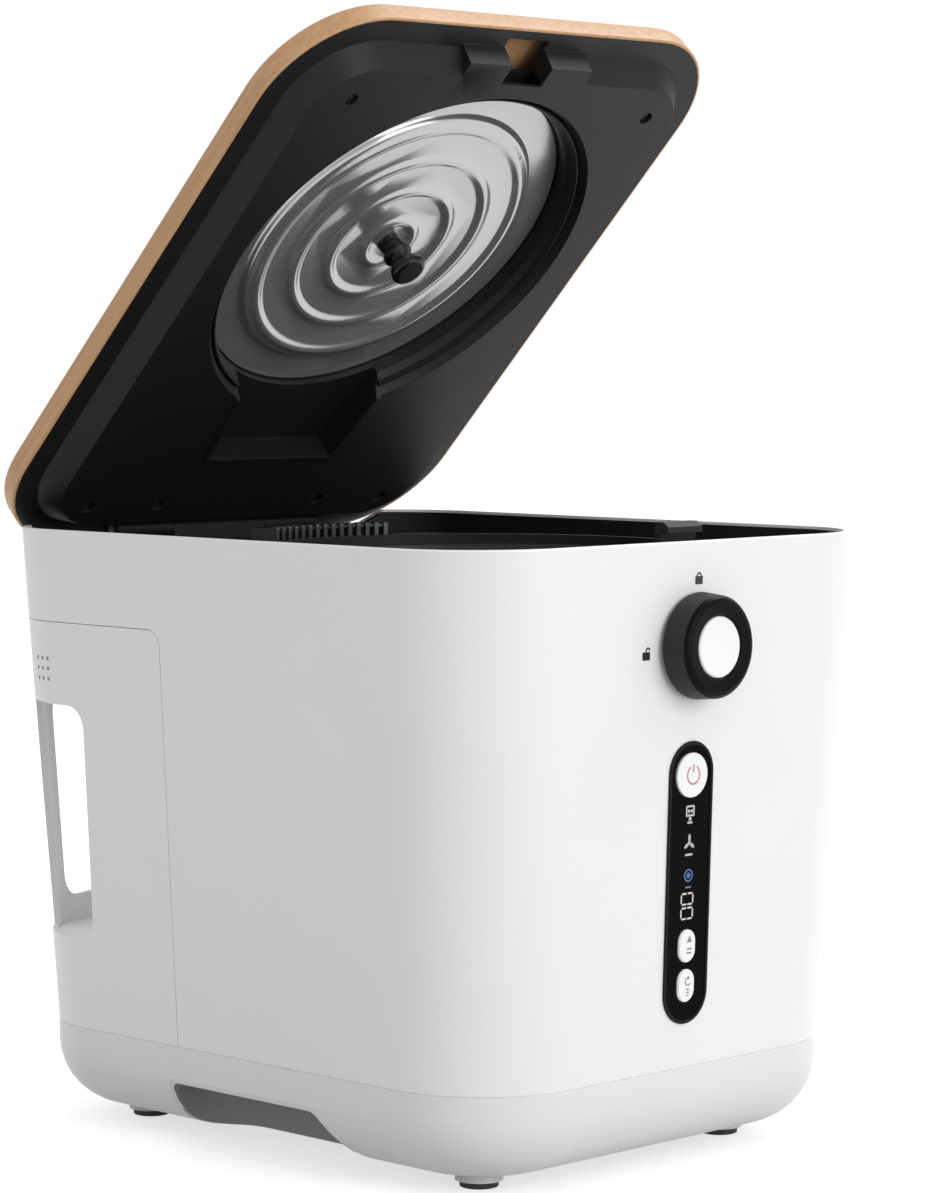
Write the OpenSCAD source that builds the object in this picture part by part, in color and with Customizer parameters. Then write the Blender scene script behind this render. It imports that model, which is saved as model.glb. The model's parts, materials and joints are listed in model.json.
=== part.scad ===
// Electric food waste composter with a sprung lid, shown with the lid open.
// Millimetres. +Z is up, the front panel faces -Y, and the floor is at z = 0.

/* [Body] */
// Width of the housing at its rim
body_w = 270; // [264:1:290]
// Depth of the housing at its rim
body_d = 325; // [318:1:345]
// Height of the rim above the floor
rim_h = 276; // [270:1:292]
// Corner radius at the rim
corner_r = 50; // [44:1:58]
// Corner radius at the seam
base_r = 52; // [46:1:60]
// Height of the seam between the housing and the base
part_z = 46.5; // [42:0.5:52]
// How far each side draws in between the rim and the seam
side_taper = 12.5; // [6:0.5:14]
// How far the front and the back draw in between the rim and the seam
end_taper = 8; // [4:0.5:10]
// Radius of the curve between the base's sides and its floor
base_curve = 30; // [20:1:32]
// Thickness of the moulded shells
wall = 2.6; // [2:0.1:3]
// Width of the chamfer that draws each seam
seam = 0.5; // [0.3:0.1:0.8]

/* [Feet] */
// Height of a rubber foot
foot_h = 3; // [2:0.5:5]
// Diameter of a rubber foot
foot_d = 17; // [12:1:22]
// Height of the boss that holds a foot
foot_boss_h = 4.5; // [3.5:0.5:6]
// Distance of a foot from the middle, across
foot_x = 78; // [60:1:84]
// Distance of a foot from the middle, front to back
foot_y = 108; // [90:1:114]

/* [Side recesses] */
// Height of the top of a finger recess in the base
recess_z = 29.7; // [24:0.5:34]
// Rear end of a recess
recess_rear = 43; // [30:1:52]
// Front end of a recess at its top
recess_front = 50; // [36:1:56]
// Distance of a recess's inner wall from the middle
recess_x = 87; // [80:1:92]
// Thickness of the recess lining
lining = 2; // [1.5:0.1:2.5]

/* [Rear cover] */
// Distance of the cover's front seam behind the middle
cover_y = 37; // [28:1:50]
// Distance of the cover's top seam below the rim
cover_drop = 42; // [36:1:50]
// Corner radius of the cover's seam
cover_r = 8; // [4:1:14]
// Width of the lip that laps behind the housing
lap = 6; // [4:0.5:9]
// Height of the bottom of a grip opening at the side
grip_low = 88; // [80:1:98]
// Height of a grip opening's bottom edge at the rear
grip_rear_low = 97.5; // [92:0.5:110]
// Distance of a grip opening's top below the cover's seam
grip_drop = 38; // [34:1:50]
// Distance of a grip opening's front edge in front of the rear face
grip_front_in = 69.5; // [66:0.5:74]
// Width of the hand space behind a corner post
grip_reach = 68; // [60:1:70]
// Corner radius of a grip opening
grip_r = 11; // [6:1:14]

/* [Bucket] */
// Distance of the bucket's axis in front of the middle
bucket_y = 31; // [27:1:34]
// Outer radius of the bucket
bucket_r = 86; // [78:1:87]
// Height of the bucket
bucket_h = 146; // [120:1:150]
// Thickness of the bucket's wall
bucket_t = 1.5; // [1:0.1:2.5]
// Gap between the bucket and its well
bucket_gap = 2; // [1:0.25:3]
// Distance of the deck below the rim
deck_drop = 11; // [10:0.5:14]
// Thickness of the deck
deck_t = 3; // [2:0.25:4]

/* [Lid] */
// Angle of the open lid
lid_open = 45.2; // [38:0.1:46]
// How far the lid overhangs the rim on every side
lid_over = 0.25; // [0:0.05:0.8]
// Thickness of the wooden cap
lid_t = 10.3; // [9.6:0.1:13]
// Thickness of the cap's top
skin = 2.2; // [1.6:0.1:2.6]
// Gap between the closed lid and the rim
lid_gap = 0.6; // [0.4:0.1:1.2]
// Width of the flat flange around the lid's underside
flange = 12.75; // [10:0.25:15]
// Width of the sloped step inside the flange
step_w = 8; // [5:0.5:10]
// How far the underside's middle stands out from the flange
step_h = 10; // [8:0.25:10.2]
// Thickness of the lid's inner frame
frame_t = 2; // [1.6:0.1:2.4]
// Distance of the hinge axis in front of the rear face
hinge_in = 10.5; // [9:0.5:12]
// Distance of the hinge axis below the rim
hinge_drop = 3.8; // [3:0.1:5]
// Radius of the hinge barrels
hinge_r = 5.5; // [5:0.1:5.6]
// Radius of the hinge pin
pin_r = 2; // [1.5:0.1:2.5]
// Half length of the middle knuckle
knuckle_x = 29; // [24:1:34]
// Half length over the lid's hinge lugs
lug_x = 64; // [56:1:70]

/* [Ripple plate] */
// Radius of the steel plate
plate_r = 92; // [84:0.5:94]
// Thickness of the plate
plate_t = 0.8; // [0.5:0.1:1.2]
// How far the plate's middle is pressed out from its margin
press_h = 3; // [1:0.25:4]
// Height of the plate's ripples
ripple_h = 1.8; // [0.6:0.1:2]
// Number of ripples
ripples = 4; // [2:1:5]
// Distance between two ripples
ripple_pitch = 19; // [14:0.5:20]
// Length of the knob under the plate
plate_knob_h = 24; // [21:1:26]

/* [Latch] */
// Distance of the knob's axis below the rim
knob_drop = 45; // [40:0.5:50]
// Radius of the knob at its base
knob_r = 23.2; // [20:0.2:25]
// How far the knob stands out
knob_h = 13.5; // [12:0.5:20]
// Radius of the knob's white cap
cap_r = 13.2; // [10:0.2:15]
// Radius of the knob's shaft
shaft_r = 5; // [4:0.25:6]
// Half width of the latch hook
hook_x = 11; // [8:0.5:12]
// Distance that the hook travels
latch_travel = 3.5; // [2.5:0.25:4]
// Height of the hook above the rim
hook_rise = 8; // [7.4:0.1:8.6]

/* [Panel] */
// Width of the control panel
panel_w = 28.3; // [26:0.1:34]
// Height of the control panel
panel_h = 123.7; // [118:0.1:134]
// Height of the panel's middle above the middle of the space between the seam and the knob
panel_up = 0.75; // [-4:0.05:6]
// Width of the panel's raised rim
bezel_w = 1.6; // [1:0.1:2.4]
// Diameter of the power button
power_d = 19.5; // [16:0.5:21]
// Height of the power button above the panel's middle
power_up = 47; // [44:0.5:48]
// Width of an oval button
oval_w = 10.6; // [9:0.2:14]
// Height of an oval button
oval_h = 14.4; // [14:0.2:16]
// Height of the upper oval button below the panel's middle
oval_up_down = 27.6; // [25:0.2:28]
// Height of the lower oval button below the panel's middle
oval_low_down = 45; // [44.4:0.1:48]
// Travel of the buttons
press = 0.8; // [0.5:0.1:1]

/* [Drive] */
// Module of the output gear's teeth
out_module = 2; // [1.8:0.05:2.05]
// Teeth on the output gear
out_teeth = 62; // [54:4:62]
// Module of the motor pinion's teeth
motor_module = 1.5; // [1.3:0.05:1.55]
// Width of the gears' teeth
gear_t = 10; // [7:0.5:11]
// Radius of the drive shaft
drive_r = 6; // [5:0.25:7]
// Radius of the motor
motor_r = 24; // [18:1:25]
// Height of the motor
motor_h = 62; // [44:1:66]

/* [Air path] */
// Radius of the fan's wheel
fan_r = 20; // [16:0.5:21]
// Width of the filter cartridge
filter_w = 62; // [50:1:66]
// Height of the filter cartridge
filter_h = 70; // [56:1:76]
// Depth of the filter cartridge
filter_d = 24; // [18:1:28]
// Number of ribs on the air grille
ribs = 15; // [9:2:19]
// Number of slots in one row of the rear vent
vent_slots = 25; // [15:2:31]

/* [Hidden] */
$fn = 64;

// Clearances and small sizes that several pieces share
eps = 0.01;
gap = 0.3;
run = 0.05;
corner_steps = 14;
rim_round = 0.7;
tab = 1.2;
sides = [-1, 1];

// Levels
base_z = foot_h + foot_boss_h;
deck_z = rim_h - deck_drop;
deck_low = deck_z - deck_t;
lid_w = body_w + 2 * lid_over;
lid_d = body_d + 2 * lid_over;
lid_r = corner_r + lid_over;
lid_z = rim_h + lid_gap;
lid_top_z = lid_z + lid_t;
skin_z = lid_top_z - skin;
plateau_z = lid_z - step_h;
hinge_y = body_d / 2 - hinge_in;
hinge_z = rim_h - hinge_drop;
cover_z = rim_h - cover_drop;
grip_top = cover_z - grip_drop;
grip_front = body_d / 2 - grip_front_in;
bucket_top = deck_z - gap;
bucket_low = bucket_top - bucket_h;
well_t = 1.5;
well_r = bucket_r + bucket_gap;
well_low = bucket_low - well_t;
heater_t = 5;
cover_t = 3;
gear_z = base_z + wall + 8;
case_low = gear_z - 5;
case_top = gear_z + 2 * gear_t + 9;
knob_z = rim_h - knob_drop;
panel_z = (part_z + knob_z - knob_r) / 2 + panel_up;
front_y = -body_d / 2;

// How far the body has drawn in at a height
function draw_in(z) = min(1, (rim_h - z) / (rim_h - part_z));
function side_at(z) = body_w / 2 - side_taper * draw_in(z);
function end_at(z) = body_d / 2 - end_taper * draw_in(z);
function corner_at(z) = corner_r + (base_r - corner_r) * draw_in(z);

// One closed ring of points around a rounded rectangle, from half sizes
function ring(half_w, half_d, r, z) = [
    for (corner = [[1, 1, 0], [-1, 1, 90], [-1, -1, 180], [1, -1, 270]])
        for (k = [0 : corner_steps])
            let (a = corner[2] + 90 * k / corner_steps)
                [corner[0] * (half_w - r) + r * cos(a), corner[1] * (half_d - r) + r * sin(a), z]
];
function body_ring(z, inset = 0) =
    ring(side_at(z) - inset, end_at(z) - inset, corner_at(z) - inset, z);
function lid_ring(z, inset = 0) =
    ring(lid_w / 2 - inset, lid_d / 2 - inset, lid_r - inset, z);

// A solid skin over a stack of rings, which all have as many points
module loft(rings) {
    n = len(rings[0]);
    m = len(rings);
    polyhedron(
        points = [for (one = rings) each one],
        faces = concat(
            [[for (k = [0 : n - 1]) k]],
            [for (level = [0 : m - 2]) for (k = [0 : n - 1])
                [level * n + k, (level + 1) * n + (k + 1) % n, level * n + (k + 1) % n]],
            [for (level = [0 : m - 2]) for (k = [0 : n - 1])
                [level * n + k, (level + 1) * n + k, (level + 1) * n + (k + 1) % n]],
            [[for (k = [n - 1 : -1 : 0]) (m - 1) * n + k]]
        ),
        convexity = 4
    );
}

// The body's own shape between two heights, drawn in by an inset
module body_block(low, high, inset = 0) loft([body_ring(low, inset), body_ring(high, inset)]);

// The base's own shape, with its curve down to the floor
base_curve_steps = 8;
module base_block(inset = 0, top = part_z) {
    r = base_curve - inset;
    loft(concat(
        [for (k = [0 : base_curve_steps])
            let (a = 90 * k / base_curve_steps)
                body_ring_flat(base_z + inset + r * (1 - cos(a)), inset + r * (1 - sin(a)))],
        [body_ring_flat(top, inset)]
    ));
}
function body_ring_flat(z, inset) =
    ring(side_at(part_z) - inset, end_at(part_z) - inset, base_r - inset, z);

// Flat rounded shapes for straight extrusions
module rounded(w, d, r) {
    square([w - 2 * r, d], center = true);
    square([w, d - 2 * r], center = true);
    for (x = sides, y = sides) translate([x * (w / 2 - r), y * (d / 2 - r)]) circle(r);
}
module stadium(w, h) {
    square([w, h - w], center = true);
    for (y = sides) translate([0, y * (h - w) / 2]) circle(w / 2);
}

// Local frame on the sloping front face: x to the right, y up the face, z out of it
front_tilt = atan(end_taper / (rim_h - part_z));
module on_front(z) translate([0, -end_at(z), z]) rotate([90 + front_tilt, 0, 0]) children();

// Moves a piece that is drawn in the closed lid to its place in the open lid
module open_lid() {
    translate([0, hinge_y, hinge_z]) rotate([-lid_open, 0, 0])
        translate([0, -hinge_y, -hinge_z]) children();
}

// The rear cover's zone, seen from the side, grown or shrunk
module cover_zone(grow = 0) {
    r = max(1, cover_r + grow);
    y = cover_y - grow;
    z = cover_z + grow;
    rotate([90, 0, 90]) linear_extrude(body_w + 40, center = true) {
        translate([y, part_z - 10]) square([body_d, z - part_z + 10 - r]);
        translate([y + r, part_z - 10]) square([body_d, z - part_z + 10]);
        translate([y + r, z - r]) circle(r);
    }
}

// Room for the open lid's rear edge, cut from the rear rim
relief_z = hinge_z - 6;
relief_x = body_w / 2 - 37;
module rim_relief() {
    translate([0, hinge_y - 2, 0]) rotate([90, 0, 180]) linear_extrude(40)
        polygon([
            [-relief_x, relief_z], [relief_x, relief_z],
            [relief_x + 18, rim_h + 1], [-relief_x - 18, rim_h + 1]
        ]);
}

// Housing: the white moulded shell around the machine
panel_clear = 0.2;
module housing() color("white") difference() {
    loft([
        body_ring(part_z, seam), body_ring(part_z + seam), body_ring(rim_h - rim_round),
        body_ring(rim_h, rim_round)
    ]);
    body_block(part_z - 1, rim_h + 1, wall);
    cover_zone();
    rim_relief();
    translate([0, front_y + 20, knob_z]) rotate([90, 0, 0]) cylinder(h = 40, r = shaft_r + run);
    on_front(panel_z) translate([0, 0, -10]) linear_extrude(20)
        stadium(panel_w - 2 * bezel_w + 2 * panel_clear, panel_h - 2 * bezel_w + 2 * panel_clear);
}

// Base tray: the white moulded floor that the housing stands on
module foot_places() for (x = sides, y = sides) translate([x * foot_x, y * foot_y, 0]) children();
module base_tray() color("whitesmoke") difference() {
    union() {
        difference() {
            union() {
                base_block(0, part_z - seam);
                loft([body_ring_flat(part_z - seam, 0), body_ring_flat(part_z, seam)]);
            }
            base_block(wall, part_z + 1);
        }
        foot_places() translate([0, 0, foot_h]) cylinder(h = foot_boss_h + wall, r = foot_d / 2 + 2);
    }
    recess_shape(lining);
    foot_places() translate([0, 0, foot_h - 1]) cylinder(h = 1 + foot_plug_h, r = foot_plug_r);
    leg_places() translate([0, 0, base_z - 1]) cylinder(h = wall + 2, r = screw_r);
    for (x = [-3 : 3], y = [-86, 84]) translate([x * 11, y, base_z - 1])
        linear_extrude(wall + 2) stadium(4, 34);
}

// Finger recesses in the base's sides, and the grey lining of each
recess_round = 26;
recess_ease = 4;
function eased(from, corner, to, r) = let (
    p = corner + r * (from - corner) / norm(from - corner),
    q = corner + r * (to - corner) / norm(to - corner)
) [for (t = [0 : 0.2 : 1]) (1 - t) * (1 - t) * p + 2 * t * (1 - t) * corner + t * t * q];
module recess_shape(grow = 0) {
    z = recess_z + grow;
    for (side = sides) intersection() {
        translate([0, 0, -1]) linear_extrude(z + 1) difference() {
            union() {
                inner = recess_x - grow;
                long = recess_rear + recess_front + 60;
                mirror([side < 0 ? 1 : 0, 0, 0]) {
                    translate([inner, -recess_front - 30]) square([body_w, long - 30 - recess_round + grow]);
                    translate([inner + recess_round, recess_rear + grow - recess_round - 1])
                        square([body_w, recess_round + 1]);
                    translate([inner + recess_round, recess_rear + grow - recess_round])
                        circle(recess_round);
                }
            }
            square([2 * (recess_x - grow), body_d], center = true);
        }
        rear = recess_rear + grow;
        front = -recess_front - grow;
        ease = recess_ease + grow;
        rotate([90, 0, 90]) linear_extrude(body_w + 20, center = true) polygon(concat(
            [[rear, -2]],
            eased([rear, -2], [rear, z], [front, z], ease),
            eased([rear, z], [front, z], [front - 16, base_z], ease),
            [[front - 16, base_z], [front - 22, -2]]
        ));
    }
}
module recess_linings() color("gray") difference() {
    intersection() {
        recess_shape(lining);
        base_block(0.3);
    }
    recess_shape();
}

// Rubber feet, each with a plug that fills its boss's hole
foot_plug_r = 4;
foot_plug_h = 3;
module foot_pads() color("black") foot_places() {
    cylinder(h = foot_h, r = foot_d / 2);
    cylinder(h = foot_h + foot_plug_h, r = foot_plug_r);
}

// Screws through the base's floor into the gearbox's legs
screw_r = 1.5;
screw_head_r = 3;
module leg_places() {
    for (x = sides) translate([x * 40, -bucket_y, 0]) children();
    translate([0, compound_y + 8, 0]) children();
}
module base_screws() color("silver") leg_places() translate([0, 0, base_z]) {
    translate([0, 0, -1.6]) cylinder(h = 1.6, r = screw_head_r);
    cylinder(h = case_low - base_z - 1, r = screw_r);
}

// Rear cover: the white shell that wraps the rear corners, with grips and vents
grip_x = body_w / 2 - 8;
grip_y = grip_front + grip_reach - 1;
post_x = 30;
rear_open_w = 34;
corner_keep = 19;
module grip_window(side) {
    // Opens the side face as far as the corner, then the rear face inside the post
    z_mid = (grip_low + grip_top) / 2;
    lean = atan(side_taper / (rim_h - part_z));
    translate([side * side_at(z_mid), 0, z_mid]) rotate([0, side * lean, 0]) {
        rotate([90, 0, 90]) translate([0, 0, -side * 11 - 15]) linear_extrude(30)
            grip_outline(grip_front, body_d / 2 - corner_keep, grip_low - z_mid, grip_top - z_mid);
        translate([-side * (post_x + rear_open_w / 2), grip_y, 0]) rotate([90, 0, 0])
            linear_extrude(60, center = true) rear_outline(rear_open_w, grip_rear_low - z_mid, grip_top - z_mid);
    }
}
module grip_outline(front, rear, low, high) {
    translate([front + grip_r, low]) square([rear - front - grip_r, high - low]);
    translate([front, low + grip_r]) square([rear - front, high - low - 2 * grip_r]);
    for (z = [low + grip_r, high - grip_r]) translate([front + grip_r, z]) circle(grip_r);
}
module rear_outline(w, low, high) {
    translate([-w / 2, low + grip_r]) square([w, high - low - 2 * grip_r]);
    translate([-w / 2 + grip_r, low]) square([w - 2 * grip_r, high - low]);
    for (x = sides, z = [low + grip_r, high - grip_r])
        translate([x * (w / 2 - grip_r), z]) circle(grip_r);
}
vent_pitch = 4.8;
vent_w = 2;
vent_h = 1.7;
vent_rows = [17.3, 22, 26.7];
module vents() for (drop = vent_rows) {
    for (k = [-(vent_slots - 1) / 2 : (vent_slots - 1) / 2])
        translate([1.5 * vent_pitch * k, body_d / 2, cover_z - drop]) cube([1.5 * vent_w, 30, vent_h], center = true);
    for (side = sides, k = [0 : 2])
        translate([side * body_w / 2, grip_front + 24 + vent_pitch * k, cover_z - drop])
            cube([30, vent_w, vent_h], center = true);
}
door_low = part_z + 12;
door_w = filter_w + 10;
door_h = filter_h + 10;
door_z = door_low + door_h / 2 + 22;
module rear_cover() color("white") difference() {
    union() {
        intersection() {
            loft([body_ring(part_z, seam), body_ring(part_z + seam), body_ring(cover_z + lap)]);
            cover_zone(-gap);
        }
        intersection() {
            body_block(part_z, cover_z + lap, wall);
            cover_zone(lap);
        }
    }
    body_block(part_z - 1, cover_z + lap + 1, wall + 2);
    intersection() {
        body_block(part_z - 1, cover_z - lap, wall);
        cover_zone(-lap);
    }
    for (side = sides) grip_window(side);
    vents();
    translate([0, body_d / 2, door_z]) cube([door_w + 2 * gap, 60, door_h + 2 * gap], center = true);
    translate([inlet_x, body_d / 2, inlet_z]) cube([inlet_w, 60, inlet_h], center = true);
}

// Grip wells: the white linings of the hand spaces behind the corner posts
module grip_space(side, grow = 0) {
    translate([side * grip_x, grip_y, grip_low - grow])
        cylinder(h = grip_top - grip_low + 2 * grow, r = grip_reach + grow);
}
module grip_wells() color("whitesmoke") for (side = sides) difference() {
    intersection() {
        grip_space(side, lining);
        body_block(part_z, rim_h - 1, wall);
    }
    grip_space(side);
}

// Top deck: the black moulding inside the rim, with the bucket's opening
upstand_drop = 1.2;
mouth_r = bucket_r + 2;
module at_bucket(z = 0) translate([0, -bucket_y, z]) children();
upstand = 2.4;
vent_x = 33;
module top_deck() color([0.08, 0.08, 0.08]) difference() {
    union() {
        difference() {
            body_block(deck_low, rim_h - upstand_drop, wall);
            body_block(deck_z, rim_h + 1, wall + upstand);
        }
        at_bucket(deck_low) difference() {
            cylinder(h = plateau_z + gasket_low - gap - deck_low, r = cup_r + 4);
            translate([0, 0, deck_t]) cylinder(h = 30, r = cup_r + 2.4);
        }
        at_bucket(deck_low - 8) cylinder(h = 9, r = well_r + well_t + 2);
    }
    at_bucket(deck_low - 9) cylinder(h = 30, r = mouth_r);
    at_bucket(deck_low - 9) cylinder(h = 9, r = well_r + well_t);
    rim_relief();
    translate([-latch_slot[0] / 2, hook_back - latch_slot[1] + 1, deck_low - 1])
        cube([latch_slot[0], latch_slot[1], deck_drop + deck_t]);
    translate([-vent_x, grille_y + 4, deck_low - 1]) cube([2 * vent_x, 7, deck_t + 2]);
}

// Air grille: a curved hood with ribs, which draws air from over the bucket
grille_y = 71;
grille_arc = 130;
grille_half = 16;
hood_d = 14;
grille_h = deck_drop - 0.5;
module grille_sector(r0, r1, half, h) {
    steps = 12;
    linear_extrude(h) polygon(concat(
        [for (k = [0 : steps]) let (a = 90 - half + 2 * half * k / steps) r0 * [cos(a), sin(a)]],
        [for (k = [steps : -1 : 0]) let (a = 90 - half + 2 * half * k / steps) r1 * [cos(a), sin(a)]]
    ));
}
module air_grille() color([0.1, 0.1, 0.1]) translate([0, grille_y - grille_arc, deck_z]) {
    difference() {
        grille_sector(grille_arc + 1, grille_arc + hood_d, grille_half, grille_h - 1);
        translate([0, 0, -1]) grille_sector(grille_arc - 1, grille_arc + hood_d - 2, grille_half - 1, grille_h - 1.5);
    }
    for (k = [0 : ribs - 1]) rotate([0, 0, (grille_half - 0.5) * (2 * k / (ribs - 1) - 1)])
        translate([-1.1, grille_arc, 0]) {
            cube([2.2, 3, grille_h - 1.5]);
            translate([0, 1.5, grille_h - 1.5]) rotate([0, 90, 0]) cylinder(h = 2.2, r = 1.5, $fn = 16);
        }
}

// Bucket well: the pressed metal pot that the bucket drops into
module bucket_well() color("silver") at_bucket() difference() {
    translate([0, 0, well_low]) cylinder(h = deck_low - well_low, r = well_r + well_t);
    translate([0, 0, well_low + well_t]) cylinder(h = bucket_h + 20, r = well_r);
    translate([0, 0, well_low - 1]) cylinder(h = well_t + 2, r = bush_r);
}

// Heater plate: the ring that warms the well from below
heater_r = 66;
module heater_plate() color("goldenrod") at_bucket(well_low - heater_t) difference() {
    cylinder(h = heater_t, r = heater_r);
    translate([0, 0, -1]) cylinder(h = heater_t + 2, r = bush_r + 8);
}

// Bucket: the lift-out pot, with two finger lugs inside its mouth
bucket_floor = bucket_low + 2.5;
module bucket() color("dimgray") at_bucket() difference() {
    union() {
        translate([0, 0, bucket_low]) cylinder(h = bucket_h, r = bucket_r);
        translate([0, 0, bucket_top - 4]) cylinder(h = 3, r = mouth_r - gap);
    }
    difference() {
        translate([0, 0, bucket_floor]) cylinder(h = bucket_h, r = bucket_r - bucket_t);
        for (side = sides) translate([side * bucket_r, 0, bucket_top - 16]) cube([16, 40, 3], center = true);
    }
    translate([0, 0, bucket_low - 1]) cylinder(h = 5, r = drive_r + run);
    for (side = sides) translate([side * (bucket_r - 5), 0, bucket_top - 16])
        linear_extrude(8, center = true) stadium(3, 22);
}

// Fixed teeth on the bucket's wall, which the stirrer's arms pass between
tooth_levels = [38, 82];
module bucket_teeth() color("silver") at_bucket(bucket_floor)
    for (k = [0 : 2], z = tooth_levels) rotate([0, 0, 120 * k + 15]) intersection() {
        translate([bucket_r * 0.52, -2, z]) cube([bucket_r, 4, 10]);
        cylinder(h = bucket_h, r = bucket_r - bucket_t);
    }

// Stirrer: the hub and curved arms that turn in the bucket
hub_r = 12;
stirrer_h = bucket_h - 36;
arm_levels = [3, 54, 98];
module stirrer() color("silver") at_bucket(bucket_floor + 0.5) difference() {
    union() {
        cylinder(h = stirrer_h - 8, r = hub_r);
        translate([0, 0, stirrer_h - 8]) cylinder(h = 8, r1 = hub_r, r2 = 7);
        for (k = [0 : 2]) rotate([0, 0, 120 * k]) translate([0, -3, arm_levels[k]])
            cube([bucket_r - bucket_t - 4, 6, 12]);
        for (k = [0 : 2]) rotate([0, 0, 120 * k]) translate([bucket_r - bucket_t - 9, -3, arm_levels[k] - 1])
            cube([5, 6, 16]);
    }
    translate([0, 0, -1]) cylinder(h = 21, r = drive_r);
    translate([-drive_r - 2, -1.5, -1]) cube([2 * drive_r + 4, 3, 21]);
}

// Output shaft, with the cross key that drives the stirrer
shaft_low = case_low + 3;
module output_shaft() color("silver") at_bucket() {
    translate([0, 0, shaft_low]) cylinder(h = bucket_floor + 18 - shaft_low, r = drive_r);
    translate([-drive_r - 1.5, -1.25, bucket_floor + 3]) cube([2 * drive_r + 3, 2.5, 14]);
}

// Gears with involute flanks
function involute(base, a) = base * [cos(a) + a * PI / 180 * sin(a), sin(a) - a * PI / 180 * cos(a)];
function turn(p, a) = [p[0] * cos(a) - p[1] * sin(a), p[0] * sin(a) + p[1] * cos(a)];
function roll_angle(base, r) = sqrt(max(0, pow(r / base, 2) - 1)) * 180 / PI;
module gear(teeth, size, h, bore, phase = 0) {
    pitch = teeth * size / 2;
    base = pitch * cos(20);
    tip = pitch + 0.9 * size;
    root = pitch - 1.2 * size;
    pitch_roll = roll_angle(base, pitch);
    pitch_point = involute(base, pitch_roll);
    half = 90 / teeth * 0.94 + atan2(pitch_point[1], pitch_point[0]);
    levels = 4;
    flank = [for (k = [0 : levels])
        let (r = max(base, root) + (tip - max(base, root)) * k / levels)
            turn(involute(base, roll_angle(base, r)), -half)];
    mirrored = [for (k = [levels : -1 : 0]) [flank[k][0], -flank[k][1]]];
    half_root = atan2(-flank[0][1], flank[0][0]);
    foot = root * [cos(half_root), sin(half_root)];
    tooth = concat([[foot[0], -foot[1]]], flank, mirrored, [foot]);
    difference() {
        linear_extrude(h)
            polygon([for (k = [0 : teeth - 1]) for (p = tooth) turn(p, phase + 360 * k / teeth)]);
        translate([0, 0, -1]) cylinder(h = h + 2, r = bore);
    }
}
small_teeth = 16;
big_teeth = 48;
pinion_teeth = 12;
first_span = (out_teeth + small_teeth) * out_module / 2;
second_span = (big_teeth + pinion_teeth) * motor_module / 2;
compound_y = -bucket_y + first_span;
motor_y = compound_y + second_span;
axle_r = 3;
motor_shaft_r = 2;
low_gear_z = gear_z;
high_gear_z = gear_z + gear_t + 3;

// Turn of a gear whose tooth has to fall in a gap of the gear it meets, which lies at -90 degrees
// from it and has a tooth at 0 degrees
function mesh_phase(teeth, meets) = -90 + 180 / teeth + (meets / 4 - floor(meets / 4)) * 360 / teeth;

module output_gear() color("ivory") at_bucket(low_gear_z) gear(out_teeth, out_module, gear_t, drive_r);
module compound_gear() color("ivory") translate([0, compound_y, 0]) {
    translate([0, 0, low_gear_z])
        gear(small_teeth, out_module, gear_t + 3 + eps, axle_r + run, mesh_phase(small_teeth, out_teeth));
    translate([0, 0, high_gear_z]) gear(big_teeth, motor_module, gear_t, axle_r + run);
}
module gear_axle() color("silver") translate([0, compound_y, case_low + case_wall / 2])
    cylinder(h = case_top - case_low, r = axle_r);
module motor_pinion() color("gold") translate([0, motor_y, 0]) {
    translate([0, 0, high_gear_z]) gear(
        pinion_teeth, motor_module, gear_t, motor_shaft_r, mesh_phase(pinion_teeth, big_teeth)
    );
    translate([0, 0, high_gear_z - 2]) cylinder(h = case_top + cover_t + 4 - high_gear_z + 2, r = motor_shaft_r);
}

// Gearbox: a moulded case and its cover, which carries the motor
case_wall = 3;
out_tip = (out_teeth + 2) * out_module / 2;
big_tip = (big_teeth + 2) * motor_module / 2;
pinion_tip = (pinion_teeth + 2) * motor_module / 2;
module gear_room(grow) {
    translate([0, -bucket_y]) circle(out_tip + 2 + grow);
    translate([0, compound_y]) circle(big_tip + 2 + grow);
    translate([0, motor_y]) circle(max(motor_r, pinion_tip + 2) + grow);
}
module gearbox_case() color("darkgray") difference() {
    union() {
        translate([0, 0, case_low]) linear_extrude(case_top - case_low) gear_room(case_wall);
        leg_places() translate([0, 0, base_z + wall]) cylinder(h = case_low - base_z - wall + 1, r = 5);
    }
    translate([0, 0, case_low + case_wall]) linear_extrude(case_top - case_low) gear_room(0);
    translate([0, compound_y, case_low + case_wall / 2]) cylinder(h = 10, r = axle_r);
    leg_places() translate([0, 0, base_z]) cylinder(h = case_low - base_z - 1, r = screw_r);
}
module gearbox_cover() color("darkgray") difference() {
    union() {
        translate([0, 0, case_top]) linear_extrude(cover_t) gear_room(case_wall);
        at_bucket(case_top) cylinder(h = well_low - heater_t - case_top, r = bush_r + 5);
        for (k = [0 : 2]) at_bucket(case_top) rotate([0, 0, 120 * k + 30]) translate([heater_r - 8, 0, 0])
            cylinder(h = well_low - heater_t - case_top, r = 4);
    }
    at_bucket(case_top - 1) cylinder(h = well_low - case_top, r = bush_r);
    translate([0, motor_y, case_top - 1]) cylinder(h = cover_t + 2, r = 7);
    translate([0, compound_y, case_top - 1]) cylinder(h = 1 + case_wall / 2, r = axle_r);
}

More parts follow.
